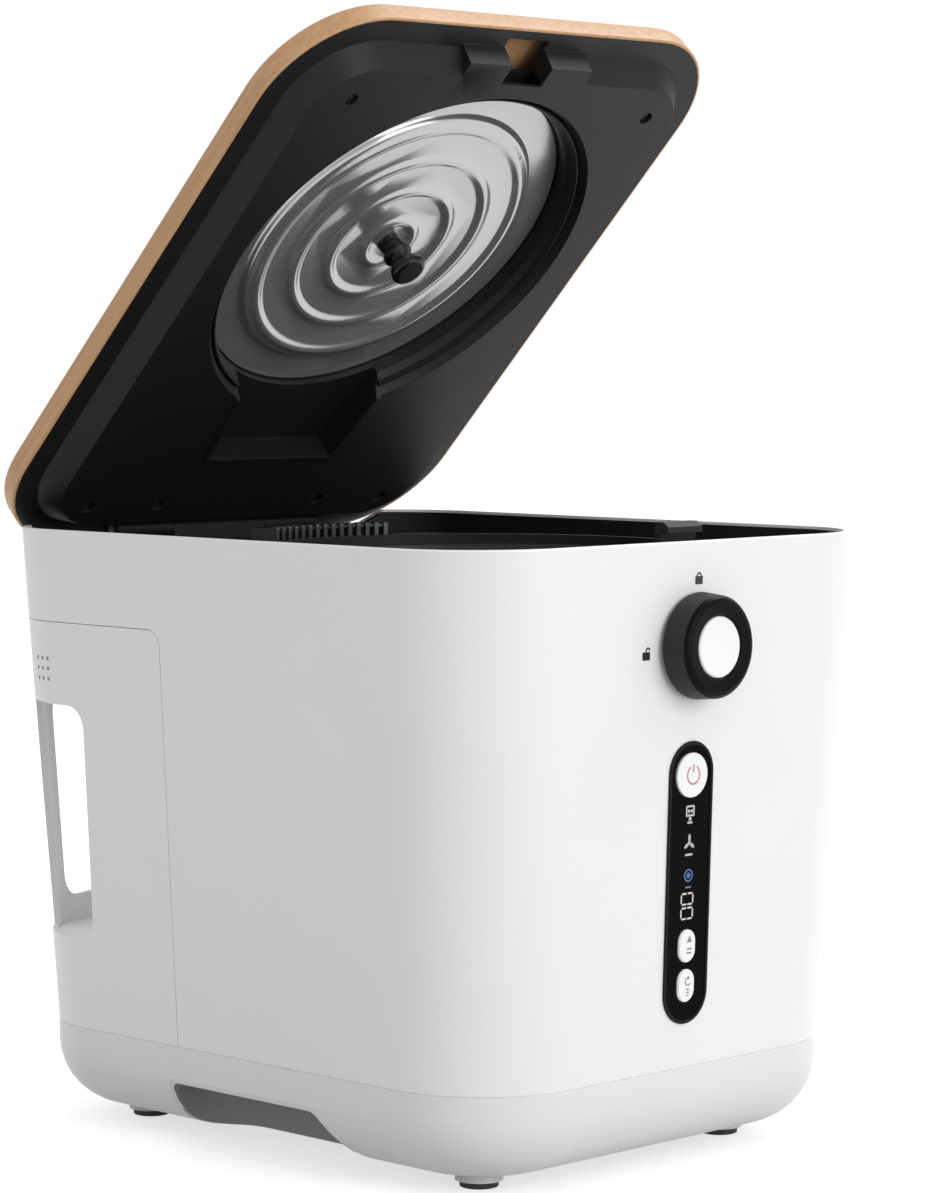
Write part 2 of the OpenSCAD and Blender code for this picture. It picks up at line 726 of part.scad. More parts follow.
// Bushes that the output shaft turns in
bush_r = drive_r + 3;
module shaft_bushes() color("peru") at_bucket() {
    translate([0, 0, case_top]) difference() {
        cylinder(h = well_low + well_t - case_top, r = bush_r);
        translate([0, 0, -1]) cylinder(h = well_low - case_top + 5, r = drive_r + run);
    }
    translate([0, 0, case_low + case_wall]) difference() {
        cylinder(h = low_gear_z - case_low - case_wall - 0.5, r = bush_r + 1);
        translate([0, 0, -1]) cylinder(h = 10, r = drive_r + run);
    }
}

// Motor, bolted on the gearbox cover
module motor() color("dimgray") translate([0, motor_y, case_top + cover_t]) difference() {
    union() {
        cylinder(h = motor_h, r = motor_r);
        translate([0, 0, motor_h]) cylinder(h = 5, r = 9);
    }
    translate([0, 0, -1]) cylinder(h = 8, r = motor_shaft_r + run);
}

// Fan: a scroll housing that hangs under the deck's air opening
fan_y = grille_y + 17;
duct_d = 22;
duct_w = 2 * vent_x + 6;
air_hole_r = 6;
fan_h = 24;
fan_top = deck_low - 8;
fan_low = fan_top - fan_h;
module air_duct() color([0.2, 0.2, 0.2]) translate([-duct_w / 2, fan_y - duct_d + 9, fan_top]) difference() {
    cube([duct_w, duct_d, deck_low - fan_top]);
    translate([2, 2, 2]) cube([duct_w - 4, duct_d - 4, deck_low - fan_top]);
    translate([duct_w / 2, duct_d - 9, -1]) cylinder(h = 4, r = air_hole_r);
}
module fan_housing() color([0.15, 0.15, 0.15]) translate([0, fan_y, fan_low]) difference() {
    union() {
        cylinder(h = fan_h, r = fan_r + 5);
        cube([fan_r + 5, outlet_y - fan_y, fan_h]);
    }
    translate([0, 0, 2]) cylinder(h = fan_h - 4, r = fan_r + 3);
    translate([0, 2, 2]) cube([fan_r + 3, outlet_y, fan_h - 4]);
    translate([0, 0, fan_h - 3]) cylinder(h = 5, r = air_hole_r);
    translate([0, 0, -1]) cylinder(h = 4, r = 4);
}
module fan_wheel() color("lightgray") translate([0, fan_y, fan_low + 4]) {
    difference() {
        cylinder(h = 2, r = fan_r);
        translate([0, 0, -1]) cylinder(h = 4, r = motor_shaft_r - eps);
    }
    difference() {
        cylinder(h = 8, r = 5);
        translate([0, 0, -1]) cylinder(h = 10, r = motor_shaft_r - eps);
    }
    for (k = [0 : 17]) rotate([0, 0, 20 * k]) translate([fan_r - 6, -0.6, 1]) cube([6, 1.2, fan_h - 12]);
    translate([0, 0, -7]) cylinder(h = 14, r = motor_shaft_r);
}
module fan_motor() color("dimgray") translate([0, fan_y, fan_low - 14]) difference() {
    cylinder(h = 14, r = 12);
    translate([0, 0, 8]) cylinder(h = 10, r = motor_shaft_r + run);
}

// Carbon filter: the cartridge and the rear door that pull out together
door_face = end_at(door_z);
door_t = 3;
door_lean = atan(end_taper / (rim_h - part_z));
cartridge_y = door_face - door_t - filter_d - 5;
module filter_cartridge() color([0.25, 0.25, 0.27]) difference() {
    translate([-filter_w / 2, cartridge_y, door_z - filter_h / 2]) cube([filter_w, filter_d, filter_h]);
    for (k = [-2 : 2]) translate([k * filter_w / 6, cartridge_y - 1, door_z])
        rotate([-90, 0, 0]) linear_extrude(filter_d - 2) stadium(5, filter_h - 16);
}
module filter_door() color("white") {
    difference() {
        translate([0, door_face - door_t / 2 - 0.4, door_z]) rotate([-door_lean, 0, 0])
            cube([door_w, door_t, door_h], center = true);
        translate([0, door_face + 4, door_z + door_h / 2 - 14]) rotate([90, 0, 0])
            linear_extrude(5.5) rotate(90) stadium(12, 30);
    }
    for (x = sides) translate([x * (filter_w / 2 - 6), cartridge_y + filter_d, door_z]) rotate([-90, 0, 0])
        cylinder(h = door_face - door_t / 2 - 0.4 - cartridge_y - filter_d, r = 3);
}
// Filter sleeve: guides the cartridge, with a chimney up to the fan's outlet
outlet_y = cartridge_y - 7.1;
sleeve_t = 1.6;
post_r = 4;
post_lift = 1;
sleeve_rear = end_at(part_z) - wall - 2.2;
module filter_sleeve() color([0.75, 0.75, 0.75]) difference() {
    union() {
        translate([-filter_w / 2 - gap - sleeve_t, outlet_y, door_z - filter_h / 2 - gap - sleeve_t])
            cube([filter_w + 2 * (gap + sleeve_t), sleeve_rear - outlet_y, filter_h + 2 * (gap + sleeve_t)]);
        translate([-2, outlet_y, door_z]) cube([fan_r + 7, 16, fan_low + fan_h - door_z]);
        for (x = sides) translate([x * (filter_w / 2 - 4), outlet_y + post_r, base_z + wall + post_lift])
            cylinder(h = door_z - filter_h / 2 - base_z - wall - post_lift - 1, r = post_r);
    }
    translate([-filter_w / 2 - gap, outlet_y + 2, door_z - filter_h / 2 - gap])
        cube([filter_w + 2 * gap, 60, filter_h + 2 * gap]);
    translate([0, outlet_y + 2, door_z]) cube([fan_r + 3, 12, fan_low + fan_h - door_z - 2]);
    translate([0, outlet_y - 1, fan_low + 2]) cube([fan_r + 3, 6, fan_h - 4]);
}

// Power inlet: the socket for a lead, low on the rear cover, with three pins
inlet_w = 28;
inlet_h = 20;
inlet_in = 18;
inlet_x = -54;
inlet_z = part_z + 18;
inlet_face = end_at(inlet_z) + 0.2;
module power_inlet() color([0.05, 0.05, 0.05]) translate([inlet_x, inlet_face, inlet_z]) difference() {
    union() {
        translate([-inlet_w / 2, -24, -inlet_h / 2]) cube([inlet_w, 24, inlet_h]);
        translate([-inlet_w / 2 - 2, -1.8 - wall, -inlet_h / 2 - 2]) cube([inlet_w + 4, 1, inlet_h + 4]);
    }
    translate([-inlet_w / 2 + 3, -inlet_in, -inlet_h / 2 + 3]) cube([inlet_w - 6, inlet_in + 2, inlet_h - 6]);
}
module inlet_pins() color("silver") for (x = [-1 : 1])
    translate([inlet_x + 7 * x - 1, inlet_face - inlet_in, inlet_z - 2.5]) cube([2, inlet_in - 4, 5]);

// Circuit boards
board_t = 1.6;
main_board_h = 92;
main_board_d = 70;
board_front = -6;
shelf_h = 5;
shelf_w = 8;
shelf_in = 4;
chip_d = 9;
module main_board() color("darkgreen") {
    translate([main_board_x, board_front, base_z + wall + shelf_h]) difference() {
        cube([board_t, main_board_d, main_board_h]);
        translate([-1, main_board_d / 2, 20]) cube([board_t + 2, 12, 8]);
    }
    for (k = [0 : 3]) translate([main_board_x + board_t - eps, board_front + 8 + 15 * k, base_z + 30 + 8 * k])
        cube([5, chip_d, 12]);
    translate([main_board_x, board_front + shelf_in, base_z + wall])
        cube([shelf_w, main_board_d - 2 * shelf_in, shelf_h + 0.1]);
}
main_board_x = recess_x - 14;
face_t = 1.6;
board_back = 9;
module control_board() color("darkgreen") on_front(panel_z) {
    translate([0, 0, -board_back - board_t]) linear_extrude(board_t)
        stadium(panel_w - 2 * bezel_w - 1, panel_h - 2 * bezel_w - 1);
    for (x = sides, y = [-10, 30]) translate([x * 8, y, -board_back])
        cylinder(h = board_back - face_t, r = 1.8);
}

// Control panel: gloss face in a raised rim
bezel_rise = 0.9;
module panel_bezel() color([0.03, 0.03, 0.03]) on_front(panel_z) difference() {
    linear_extrude(bezel_rise) stadium(panel_w, panel_h);
    translate([0, 0, -1]) linear_extrude(bezel_rise + 2)
        stadium(panel_w - 2 * bezel_w, panel_h - 2 * bezel_w);
}
module panel_face() color([0.02, 0.02, 0.02]) on_front(panel_z) difference() {
    translate([0, 0, -face_t]) linear_extrude(face_t + 0.4)
        stadium(panel_w - 2 * bezel_w, panel_h - 2 * bezel_w);
    translate([0, power_up, -5]) cylinder(h = 10, r = power_d / 2 + gap);
    for (y = [oval_up_down, oval_low_down]) translate([0, -y, -5]) linear_extrude(10)
        stadium(oval_w + 2 * gap, oval_h + 2 * gap);
}

// Buttons: each has a stem that presses the board's switch
button_rise = 1.3;
dish_r = 120;
dish_deep = 0.3;
stem_end = -board_back + press + gap;
module button_stem() translate([0, 0, stem_end]) cylinder(h = -stem_end - 1, r = 2);
module power_button() color("white") on_front(panel_z) translate([0, power_up, 0]) {
    difference() {
        translate([0, 0, -2.5]) cylinder(h = 2.5 + button_rise, r = power_d / 2);
        translate([0, 0, button_rise + dish_r - dish_deep]) sphere(r = dish_r, $fn = 128);
    }
    button_stem();
}
module oval_button(down) color("white") on_front(panel_z) translate([0, -down, 0]) {
    translate([0, 0, -2.5]) linear_extrude(2.1 + button_rise) stadium(oval_w, oval_h);
    translate([0, 0, -1]) linear_extrude(1 + button_rise) stadium(oval_w - 0.8, oval_h - 0.8);
    button_stem();
}
module upper_button() oval_button(oval_up_down);
module lower_button() oval_button(oval_low_down);

// Lock knob with a white cap, on a shaft with a stepped cam behind the latch hook
knob_back = front_y - 0.4;
module knob_frame() translate([0, knob_back, knob_z]) rotate([90, 0, 0]) children();
module lock_knob() color([0.06, 0.06, 0.06]) knob_frame() difference() {
    rotate_extrude($fn = 128) polygon([
        [shaft_r - 1, 0], [knob_r - 0.4, 0], [knob_r, 1], [knob_r - 1, knob_h - 2],
        [knob_r - 2.4, knob_h - 0.5], [knob_r - 4, knob_h], [cap_r + 1.2, knob_h - 0.6],
        [cap_r, knob_h - 1.6], [cap_r, knob_h - 5], [shaft_r - 1, knob_h - 5]
    ]);
    translate([0, 0, -1]) cylinder(h = 7, r = shaft_r);
}
module knob_cap() color("white") knob_frame() rotate_extrude($fn = 128) polygon([
    [0, knob_h - 5], [cap_r, knob_h - 5], [cap_r, knob_h - 1.4], [cap_r - 0.6, knob_h - 0.8],
    [cap_r - 3, knob_h - 1.2], [0, knob_h - 1.6]
]);
hook_t = 4;
hook_back = front_y + 15;
latch_slot = [2 * hook_x + 1.6, hook_t + latch_travel + 2];
cam_steps = 6;
cam_r = 13;
cam_gap = 0.6;
boss_h = latch_travel + 0.9;
boss_at = -90;
cam_low = hook_back + boss_h + cam_gap;
cam_pitch = 90 / cam_steps;
module cam_sector(r0, r1, start, count, h) linear_extrude(h) polygon(concat(
    [for (k = [0 : ceil(count)]) let (a = start + min(k, count) * cam_pitch) r0 * [cos(a), sin(a)]],
    [for (k = [ceil(count) : -1 : 0]) let (a = start + min(k, count) * cam_pitch) r1 * [cos(a), sin(a)]]
));
guide_back = cam_low + 10;
module knob_shaft() color("silver") {
    knob_frame() translate([0, 0, -(guide_back - knob_back) + 0.5])
        cylinder(h = guide_back - knob_back - 0.5 + 6, r = shaft_r);
    translate([0, cam_low + 3, knob_z]) rotate([90, 0, 0]) {
        cylinder(h = 3, r = cam_r);
        for (k = [0 : cam_steps - 1]) cam_sector(
            shaft_r + 3, cam_r - 0.6, boss_at + (k + 1) * cam_pitch, cam_steps + 1 - k,
            3 + latch_travel * (k + 1) / cam_steps
        );
    }
}

// Latch hook: slides forward under the lid's lip when the knob locks
hook_top = rim_h + hook_rise;
lip_z = lid_z + frame_t;
module latch_hook() color([0.12, 0.12, 0.12]) difference() {
    union() {
        translate([-hook_x, hook_back - hook_t, knob_z - 14]) cube([2 * hook_x, hook_t, hook_top - knob_z + 14 - 1]);
        rotate([90, 0, 90]) linear_extrude(2 * hook_x, center = true) polygon([
            [hook_back, lip_z + 0.6], [hook_back, hook_top - 1], [hook_back - 1, hook_top],
            [hook_back - 5, hook_top], [hook_back - 8, hook_top - 2.2], [hook_back - 8, lip_z + 0.6]
        ]);
        translate([0, hook_back, knob_z]) rotate([-90, 0, 0])
            cam_sector(shaft_r + 3.4, cam_r - 0.6, -boss_at - cam_pitch / 3, 2 / 3, boss_h);
    }
    translate([0, 0, knob_z]) rotate([90, 0, 0]) cylinder(h = body_d, r = shaft_r + 0.6);
}

// Latch guide: the bracket under the deck that steers the hook and holds the shaft
guide_x = cam_r + 3.2;
module latch_guide() color([0.15, 0.15, 0.15]) difference() {
    translate([-guide_x, front_y + 6, knob_z - 18])
        cube([2 * guide_x, guide_back - front_y - 6 + 2, deck_low - knob_z + 18]);
    translate([-hook_x - gap, front_y - 1, knob_z - 15])
        cube([2 * (hook_x + gap), guide_back - front_y + 1, deck_low - knob_z + 16]);
    translate([0, 0, knob_z]) rotate([90, 0, 0]) cylinder(h = body_d, r = shaft_r + run);
    translate([0, guide_back, knob_z]) rotate([90, 0, 0]) cylinder(h = 16, r = cam_r + 1.2);
}

// Lid: wooden cap
module lid_top() color("burlywood") open_lid() difference() {
    loft([
        lid_ring(lid_z, 0.5), lid_ring(lid_z + 0.5), lid_ring(lid_top_z - 2), lid_ring(lid_top_z - 1, 0.3),
        lid_ring(lid_top_z - 0.3, 1), lid_ring(lid_top_z, 2.2)
    ]);
    loft([lid_ring(lid_z - 1, tab), lid_ring(lid_z + frame_t, tab)]);
    loft([lid_ring(lid_z - 1, skin), lid_ring(skin_z, skin)]);
}

// Lid frame: the black moulding under the cap
cup_r = plate_r + 1;
cup_top = skin_z;
plate_z = plateau_z + 16;
lid_screws_at = [[94, -124.5], [94, 130], [51, 130]];
pocket_rear = 98.5;
pocket_x = 45;
block_x = [hook_x + 1.6, 39];
module plateau_block(low, high, inset) loft([
    lid_ring(low, flange + step_w + inset), lid_ring(min(high, lid_z) , flange + inset),
    lid_ring(high, flange + inset)
]);
module air_pocket(grow = 0) translate([0, 0, plateau_z - 1]) linear_extrude(13.4 + grow) polygon([
    [-pocket_x - grow, 50], [pocket_x + grow, 50], [39 + grow, pocket_rear + grow], [-39 - grow, pocket_rear + grow]
]);
lip_w = 6;
block_in = 10.3;
block_lean = 3;
module latch_blocks() for (side = sides) translate([side * (block_x[0] + block_x[1]) / 2, -lid_d / 2, 0])
    rotate([90, 0, 90]) linear_extrude(block_x[1] - block_x[0], center = true) polygon([
        [block_in, lid_z + frame_t / 2], [block_in + block_lean, plateau_z],
        [flange + step_w + 2, plateau_z], [flange + step_w + 2, lid_z + frame_t / 2]
    ]);
module lid_frame() color([0.07, 0.07, 0.07]) open_lid() difference() {
    union() {
        loft([lid_ring(lid_z, tab), lid_ring(lid_z + frame_t, tab)]);
        difference() {
            plateau_block(plateau_z, lid_z + frame_t, 0);
            plateau_block(plateau_z + frame_t, lid_z + frame_t + 1, frame_t);
        }
        latch_blocks();
        at_bucket() translate([0, 0, plateau_z]) cylinder(h = cup_top - plateau_z, r = cup_r + 9);
        intersection() {
            air_pocket(2);
            translate([0, 0, skin_z - 30]) cylinder(h = 30, r = body_d);
        }
        for (p = lid_screws_at, side = sides) translate([side * p[0], p[1], plateau_z])
            cylinder(h = skin_z - plateau_z, r = 5);
        for (side = sides) translate([side * (knuckle_x + gap), hinge_y, hinge_z]) rotate([0, side * 90, 0])
            cylinder(h = lug_x - knuckle_x - gap, r = hinge_r);
        for (side = sides) translate([side * (lug_x + knuckle_x + gap) / 2, hinge_y, lid_z + frame_t / 2])
            cube([lug_x - knuckle_x - gap, 2 * hinge_r, frame_t], center = true);
    }
    // Disc recess with a sloped mouth and a ledge
    at_bucket() rotate_extrude($fn = 128) polygon([
        [0, plateau_z - 1], [cup_r + 7.5, plateau_z - 1], [cup_r + 6.5, plateau_z + 0.5],
        [cup_r + 4, plateau_z + 5], [cup_r + 2, plateau_z + 5.5], [cup_r, plateau_z + 9],
        [cup_r, plate_z + plate_t], [cup_r - 6, plate_z + plate_t], [cup_r - 6, skin_z + 1], [0, skin_z + 1]
    ]);
    air_pocket();
    // Room for the hinge's middle knuckle
    translate([-knuckle_x - gap, hinge_y - hinge_r - 1.2, plateau_z - 1])
        cube([2 * (knuckle_x + gap), 2 * hinge_r + 7, step_h + frame_t + 2]);
    translate([0, hinge_y, hinge_z]) rotate([0, 90, 0]) cylinder(h = 2 * lug_x + 2, r = pin_r, center = true);
    // Hook's hole, left open up to the wooden cap
    translate([-block_x[0], -lid_d / 2 + lip_w, plateau_z - 1]) cube([2 * block_x[0], 18, step_h + frame_t + 2]);
    for (p = lid_screws_at, side = sides) translate([side * p[0], p[1], plateau_z - 1]) {
        cylinder(h = 5, r = 3.2);
        cylinder(h = skin_z - plateau_z + 1, r = 1.5);
    }
}

// Lid screws, sunk in the frame's posts
module lid_screws() color("gray") open_lid() for (p = lid_screws_at, side = sides)
    translate([side * p[0], p[1], plateau_z + 2]) {
        cylinder(h = 2, r = 2.8);
        cylinder(h = skin_z - plateau_z - 3, r = 1.5);
    }

// Ripple plate: pressed steel over the bucket. Its middle stands out from its margin, and each
// ripple is a smooth wave across its own ring
ripple_in = 13;
ripple_half = 4.6;
press_r = ripple_in + ripple_pitch * (ripples - 1) + ripple_half;
press_edge = 3;
function ripple_near(r) = ripple_in + ripple_pitch * round((r - ripple_in) / ripple_pitch);
function wave(x, half) = abs(x) < half ? (1 + cos(180 * x / half)) / 2 : 0;
function plate_out(r) = r > press_r
    ? press_h * wave(r - press_r, press_edge)
    : press_h + ripple_h * wave(r - ripple_near(r), ripple_half);
wave_steps = 8;
module lid_plate() color("lightgray") open_lid() at_bucket(plate_z) rotate_extrude($fn = 128) {
    radii = concat(
        [plate_bore],
        [for (n = [0 : ripples - 1], k = [0 : wave_steps])
            ripple_in + ripple_pitch * n + ripple_half * (2 * k / wave_steps - 1)],
        [for (k = [1 : wave_steps]) press_r + press_edge * k / wave_steps], [plate_r]
    );
    polygon(concat(
        [for (r = radii) [r, -plate_out(r)]],
        [for (k = [len(radii) - 1 : -1 : 0]) [radii[k], plate_t - plate_out(radii[k])]]
    ));
}
plate_bore = 4;
module plate_knob() color([0.08, 0.08, 0.08]) open_lid() at_bucket(plate_z) rotate_extrude() polygon([
    [0, skin_z - plate_z], [plate_bore, skin_z - plate_z], [plate_bore, -press_h], [5.5, -press_h],
    [5, -plate_knob_h + 15], [6.8, -plate_knob_h + 13.5], [7, -plate_knob_h + 11.5], [4.8, -plate_knob_h + 9.5],
    [4.8, -plate_knob_h + 7.5], [7.6, -plate_knob_h + 5.5], [8.6, -plate_knob_h + 2.5], [8, -plate_knob_h + 0.8],
    [6.6, -plate_knob_h], [0, -plate_knob_h]
]);
gasket_low = 3.2;
module lid_gasket() color([0.2, 0.2, 0.2]) open_lid() difference() {
    at_bucket(plateau_z) rotate_extrude() polygon([
        [cup_r + 2.2, 5.45], [cup_r + 3.8, 5.05], [cup_r + 3.4, gasket_low], [cup_r + 2.6, gasket_low]
    ]);
    translate([-pocket_x, 0, plateau_z]) cube([2 * pocket_x, body_d, 10]);
}

// Hinge: knuckle block on the deck, pin through knuckle and lugs, springs in the knuckle
spring_wire = 0.7;
spring_x = 16;
module hinge_knuckle() color([0.1, 0.1, 0.1]) difference() {
    union() {
        translate([0, hinge_y, hinge_z]) rotate([0, 90, 0]) cylinder(h = 2 * knuckle_x, r = hinge_r, center = true);
        translate([-knuckle_x, hinge_y - hinge_r, deck_z]) cube([2 * knuckle_x, 8.5, hinge_z - deck_z]);
    }
    translate([0, hinge_y, hinge_z]) rotate([0, 90, 0]) {
        cylinder(h = 2 * knuckle_x + 2, r = pin_r + run, center = true);
        for (side = sides) translate([0, 0, side * spring_x]) cylinder(h = spring_room, r = spring_r, center = true);
    }
}
module hinge_pin() color("silver") translate([-lug_x, hinge_y, hinge_z]) rotate([0, 90, 0])
    cylinder(h = 2 * lug_x, r = pin_r);
spring_r = pin_r + 2.1;
spring_room = 16;
spring_turns = 7;
module hinge_springs() color("silver") for (side = sides)
    translate([side * spring_x, hinge_y, hinge_z]) rotate([0, 90, 0]) helix(spring_r - spring_wire, spring_wire);
module helix(r, wire) {
    around = 6;
    per_turn = 16;
    rings = spring_turns * per_turn;
    long = spring_room - 2 * wire - 0.4;
    polyhedron(
        points = [for (k = [0 : rings]) for (j = [0 : around - 1])
            let (a = 360 * k / per_turn, b = 360 * j / around)
                [(r + wire * cos(b)) * cos(a), (r + wire * cos(b)) * sin(a),
                 long * (k / rings - 0.5) + wire * sin(b)]],
        faces = concat(
            [[for (j = [0 : around - 1]) j]],
            [for (k = [0 : rings - 1]) for (j = [0 : around - 1])
                [k * around + j, (k + 1) * around + j, (k + 1) * around + (j + 1) % around]],
            [for (k = [0 : rings - 1]) for (j = [0 : around - 1])
                [k * around + j, (k + 1) * around + (j + 1) % around, k * around + (j + 1) % around]],
            [[for (j = [around - 1 : -1 : 0]) rings * around + j]]
        )
    );
}

housing();
base_tray();
recess_linings();
foot_pads();
rear_cover();
grip_wells();
top_deck();
air_grille();
bucket_well();
heater_plate();
bucket();
bucket_teeth();
stirrer();
output_shaft();
output_gear();
compound_gear();
gear_axle();
motor_pinion();
motor();
gearbox_case();
gearbox_cover();
shaft_bushes();
fan_housing();
fan_wheel();
fan_motor();
air_duct();
filter_sleeve();
filter_cartridge();
filter_door();
power_inlet();
inlet_pins();
main_board();
control_board();
panel_bezel();
panel_face();
power_button();
upper_button();
lower_button();
lock_knob();
knob_cap();
knob_shaft();
latch_hook();
latch_guide();
lid_top();
lid_frame();
lid_plate();
plate_knob();
lid_gasket();
lid_screws();
hinge_knuckle();
hinge_pin();
hinge_springs();
base_screws();
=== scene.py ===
import json
import math

import bmesh
import bpy
from mathutils import Matrix, Vector

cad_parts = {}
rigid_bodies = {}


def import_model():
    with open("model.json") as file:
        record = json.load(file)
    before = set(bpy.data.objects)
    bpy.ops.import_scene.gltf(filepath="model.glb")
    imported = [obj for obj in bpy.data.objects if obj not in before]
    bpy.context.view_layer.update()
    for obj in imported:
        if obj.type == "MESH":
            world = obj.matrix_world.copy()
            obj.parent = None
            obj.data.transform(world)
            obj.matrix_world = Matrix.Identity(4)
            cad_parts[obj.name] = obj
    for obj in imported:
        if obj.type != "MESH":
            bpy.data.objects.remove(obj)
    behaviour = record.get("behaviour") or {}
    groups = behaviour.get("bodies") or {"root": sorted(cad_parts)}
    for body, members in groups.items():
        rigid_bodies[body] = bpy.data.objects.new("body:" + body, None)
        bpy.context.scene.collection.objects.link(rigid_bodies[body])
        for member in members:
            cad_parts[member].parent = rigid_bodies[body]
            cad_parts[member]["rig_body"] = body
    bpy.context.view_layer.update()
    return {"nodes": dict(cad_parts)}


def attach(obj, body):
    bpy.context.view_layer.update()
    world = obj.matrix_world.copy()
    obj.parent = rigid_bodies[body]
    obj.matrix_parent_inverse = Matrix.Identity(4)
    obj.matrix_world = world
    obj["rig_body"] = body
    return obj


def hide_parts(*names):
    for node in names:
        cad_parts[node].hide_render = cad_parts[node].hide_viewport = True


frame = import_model()
MM = 0.001

# White housing. The shell is one injection moulding in satin white plastic, drawn in towards the
# base, with a fine spark texture. Its seams are the small chamfers where it meets its neighbours.
SHELL_WHITE = (0.80, 0.80, 0.795)
SHELL_ROUGHNESS = 0.42
SHELL_GRAIN_MM = 0.006
SHELL_CREASE = 28.0
WELD = 2e-6
FLAT_WITHIN = 0.4
EDGE_SEGMENTS = 2


def body_of(node):
    """The body that a node rides on."""
    return frame["nodes"][node]["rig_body"]


def finished(name, mesh, material, body, crease=30.0):
    """Turns a bmesh in the row's own metres into a piece that rides on a body."""
    for face in mesh.faces:
        face.smooth = True
    for edge in mesh.edges:
        edge.smooth = edge.calc_face_angle(0.0) < math.radians(crease)
    data = bpy.data.meshes.new(name)
    mesh.to_mesh(data)
    mesh.free()
    piece = bpy.data.objects.new(name, data)
    bpy.context.scene.collection.objects.link(piece)
    data.materials.append(material)
    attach(piece, body)
    return piece


def skin_of(node, material, crease=30.0, edge_mm=0.0):
    """The node's own shape with its triangles merged, shaded smooth, and its edges eased."""
    mesh = bmesh.new()
    mesh.from_mesh(frame["nodes"][node].data)
    bmesh.ops.remove_doubles(mesh, verts=mesh.verts, dist=WELD)
    bmesh.ops.dissolve_limit(
        mesh, angle_limit=math.radians(FLAT_WITHIN), use_dissolve_boundaries=False,
        verts=mesh.verts, edges=mesh.edges, delimit={"NORMAL"},
    )
    piece = finished(node + "_skin", mesh, material, body_of(node), crease)
    if edge_mm > 0:
        ease = piece.modifiers.new("eased edges", "BEVEL")
        ease.width = edge_mm * MM
        ease.segments = EDGE_SEGMENTS
        ease.limit_method = "ANGLE"
        ease.angle_limit = math.radians(crease)
        ease.harden_normals = True
        ease.miter_outer = "MITER_ARC"
    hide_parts(node)
    return piece


def group_nodes(name, inputs, outputs):
    """An empty shader node group with named float inputs and outputs, ready to be filled."""
    tree = bpy.data.node_groups.new(name, "ShaderNodeTree")
    for label, value in inputs:
        socket = tree.interface.new_socket(label, in_out="INPUT", socket_type="NodeSocketFloat")
        socket.default_value = value
    for label in outputs:
        kind = "NodeSocketColor" if label == "Color" else "NodeSocketFloat"
        tree.interface.new_socket(label, in_out="OUTPUT", socket_type=kind)
    return tree, tree.nodes.new("NodeGroupInput"), tree.nodes.new("NodeGroupOutput")


def math_node(tree, operation, *values):
    """One math step. A value is a number or another node's output socket."""
    node = tree.nodes.new("ShaderNodeMath")
    node.operation = operation
    for socket, value in zip(node.inputs, values):
        if isinstance(value, (int, float)):
            socket.default_value = value
        else:
            tree.links.new(value, socket)
    return node.outputs[0]


def noise_node(tree, vector, scale, detail=2.0, roughness=0.5, stretch=None):
    """A noise on Object coordinates, stretched along an axis by a mapping when asked."""
    if stretch:
        mapping = tree.nodes.new("ShaderNodeMapping")
        mapping.inputs["Scale"].default_value = stretch
        tree.links.new(vector, mapping.inputs["Vector"])
        vector = mapping.outputs[0]
    node = tree.nodes.new("ShaderNodeTexNoise")
    node.inputs["Detail"].default_value = detail
    node.inputs["Roughness"].default_value = roughness
    tree.links.new(vector, node.inputs["Vector"])
    if isinstance(scale, (int, float)):
        node.inputs["Scale"].default_value = scale
    else:
        tree.links.new(scale, node.inputs["Scale"])
    return node.outputs["Fac"]


SLOW_SCALE = 22.0
HANDLED_SCALE = 90.0


def moulded_group():
    """Spark texture of a moulding: a fine grain, and slow changes of gloss and shade."""
    tree, given, put = group_nodes(
        "Moulded surface",
        [("Grain Scale", 1500.0), ("Gloss", 0.4), ("Gloss Change", 0.05), ("Shade Change", 0.02)],
        ["Height", "Roughness", "Shade"],
    )
    place = tree.nodes.new("ShaderNodeTexCoord").outputs["Object"]
    grain = noise_node(tree, place, given.outputs["Grain Scale"], 3.0, 0.6)
    slow = noise_node(tree, place, SLOW_SCALE, 3.0, 0.55)
    handled = noise_node(tree, place, HANDLED_SCALE, 4.0, 0.6)
    centred = math_node(tree, "SUBTRACT", slow, 0.5)
    mixed = math_node(tree, "ADD", centred, math_node(tree, "SUBTRACT", handled, 0.5))
    tree.links.new(grain, put.inputs["Height"])
    gloss = math_node(tree, "MULTIPLY_ADD", mixed, given.outputs["Gloss Change"], given.outputs["Gloss"])
    tree.links.new(gloss, put.inputs["Roughness"])
    shade = math_node(tree, "MULTIPLY_ADD", centred, given.outputs["Shade Change"], 1.0)
    tree.links.new(shade, put.inputs["Shade"])
    return tree


MOULDED = moulded_group()


def new_material(name):
    """A material with its node tree and its surface shader."""
    material = bpy.data.materials.new(name)
    material.use_nodes = True
    tree = material.node_tree
    return material, tree, tree.nodes["Principled BSDF"]


BUMP_STRENGTH = 0.6


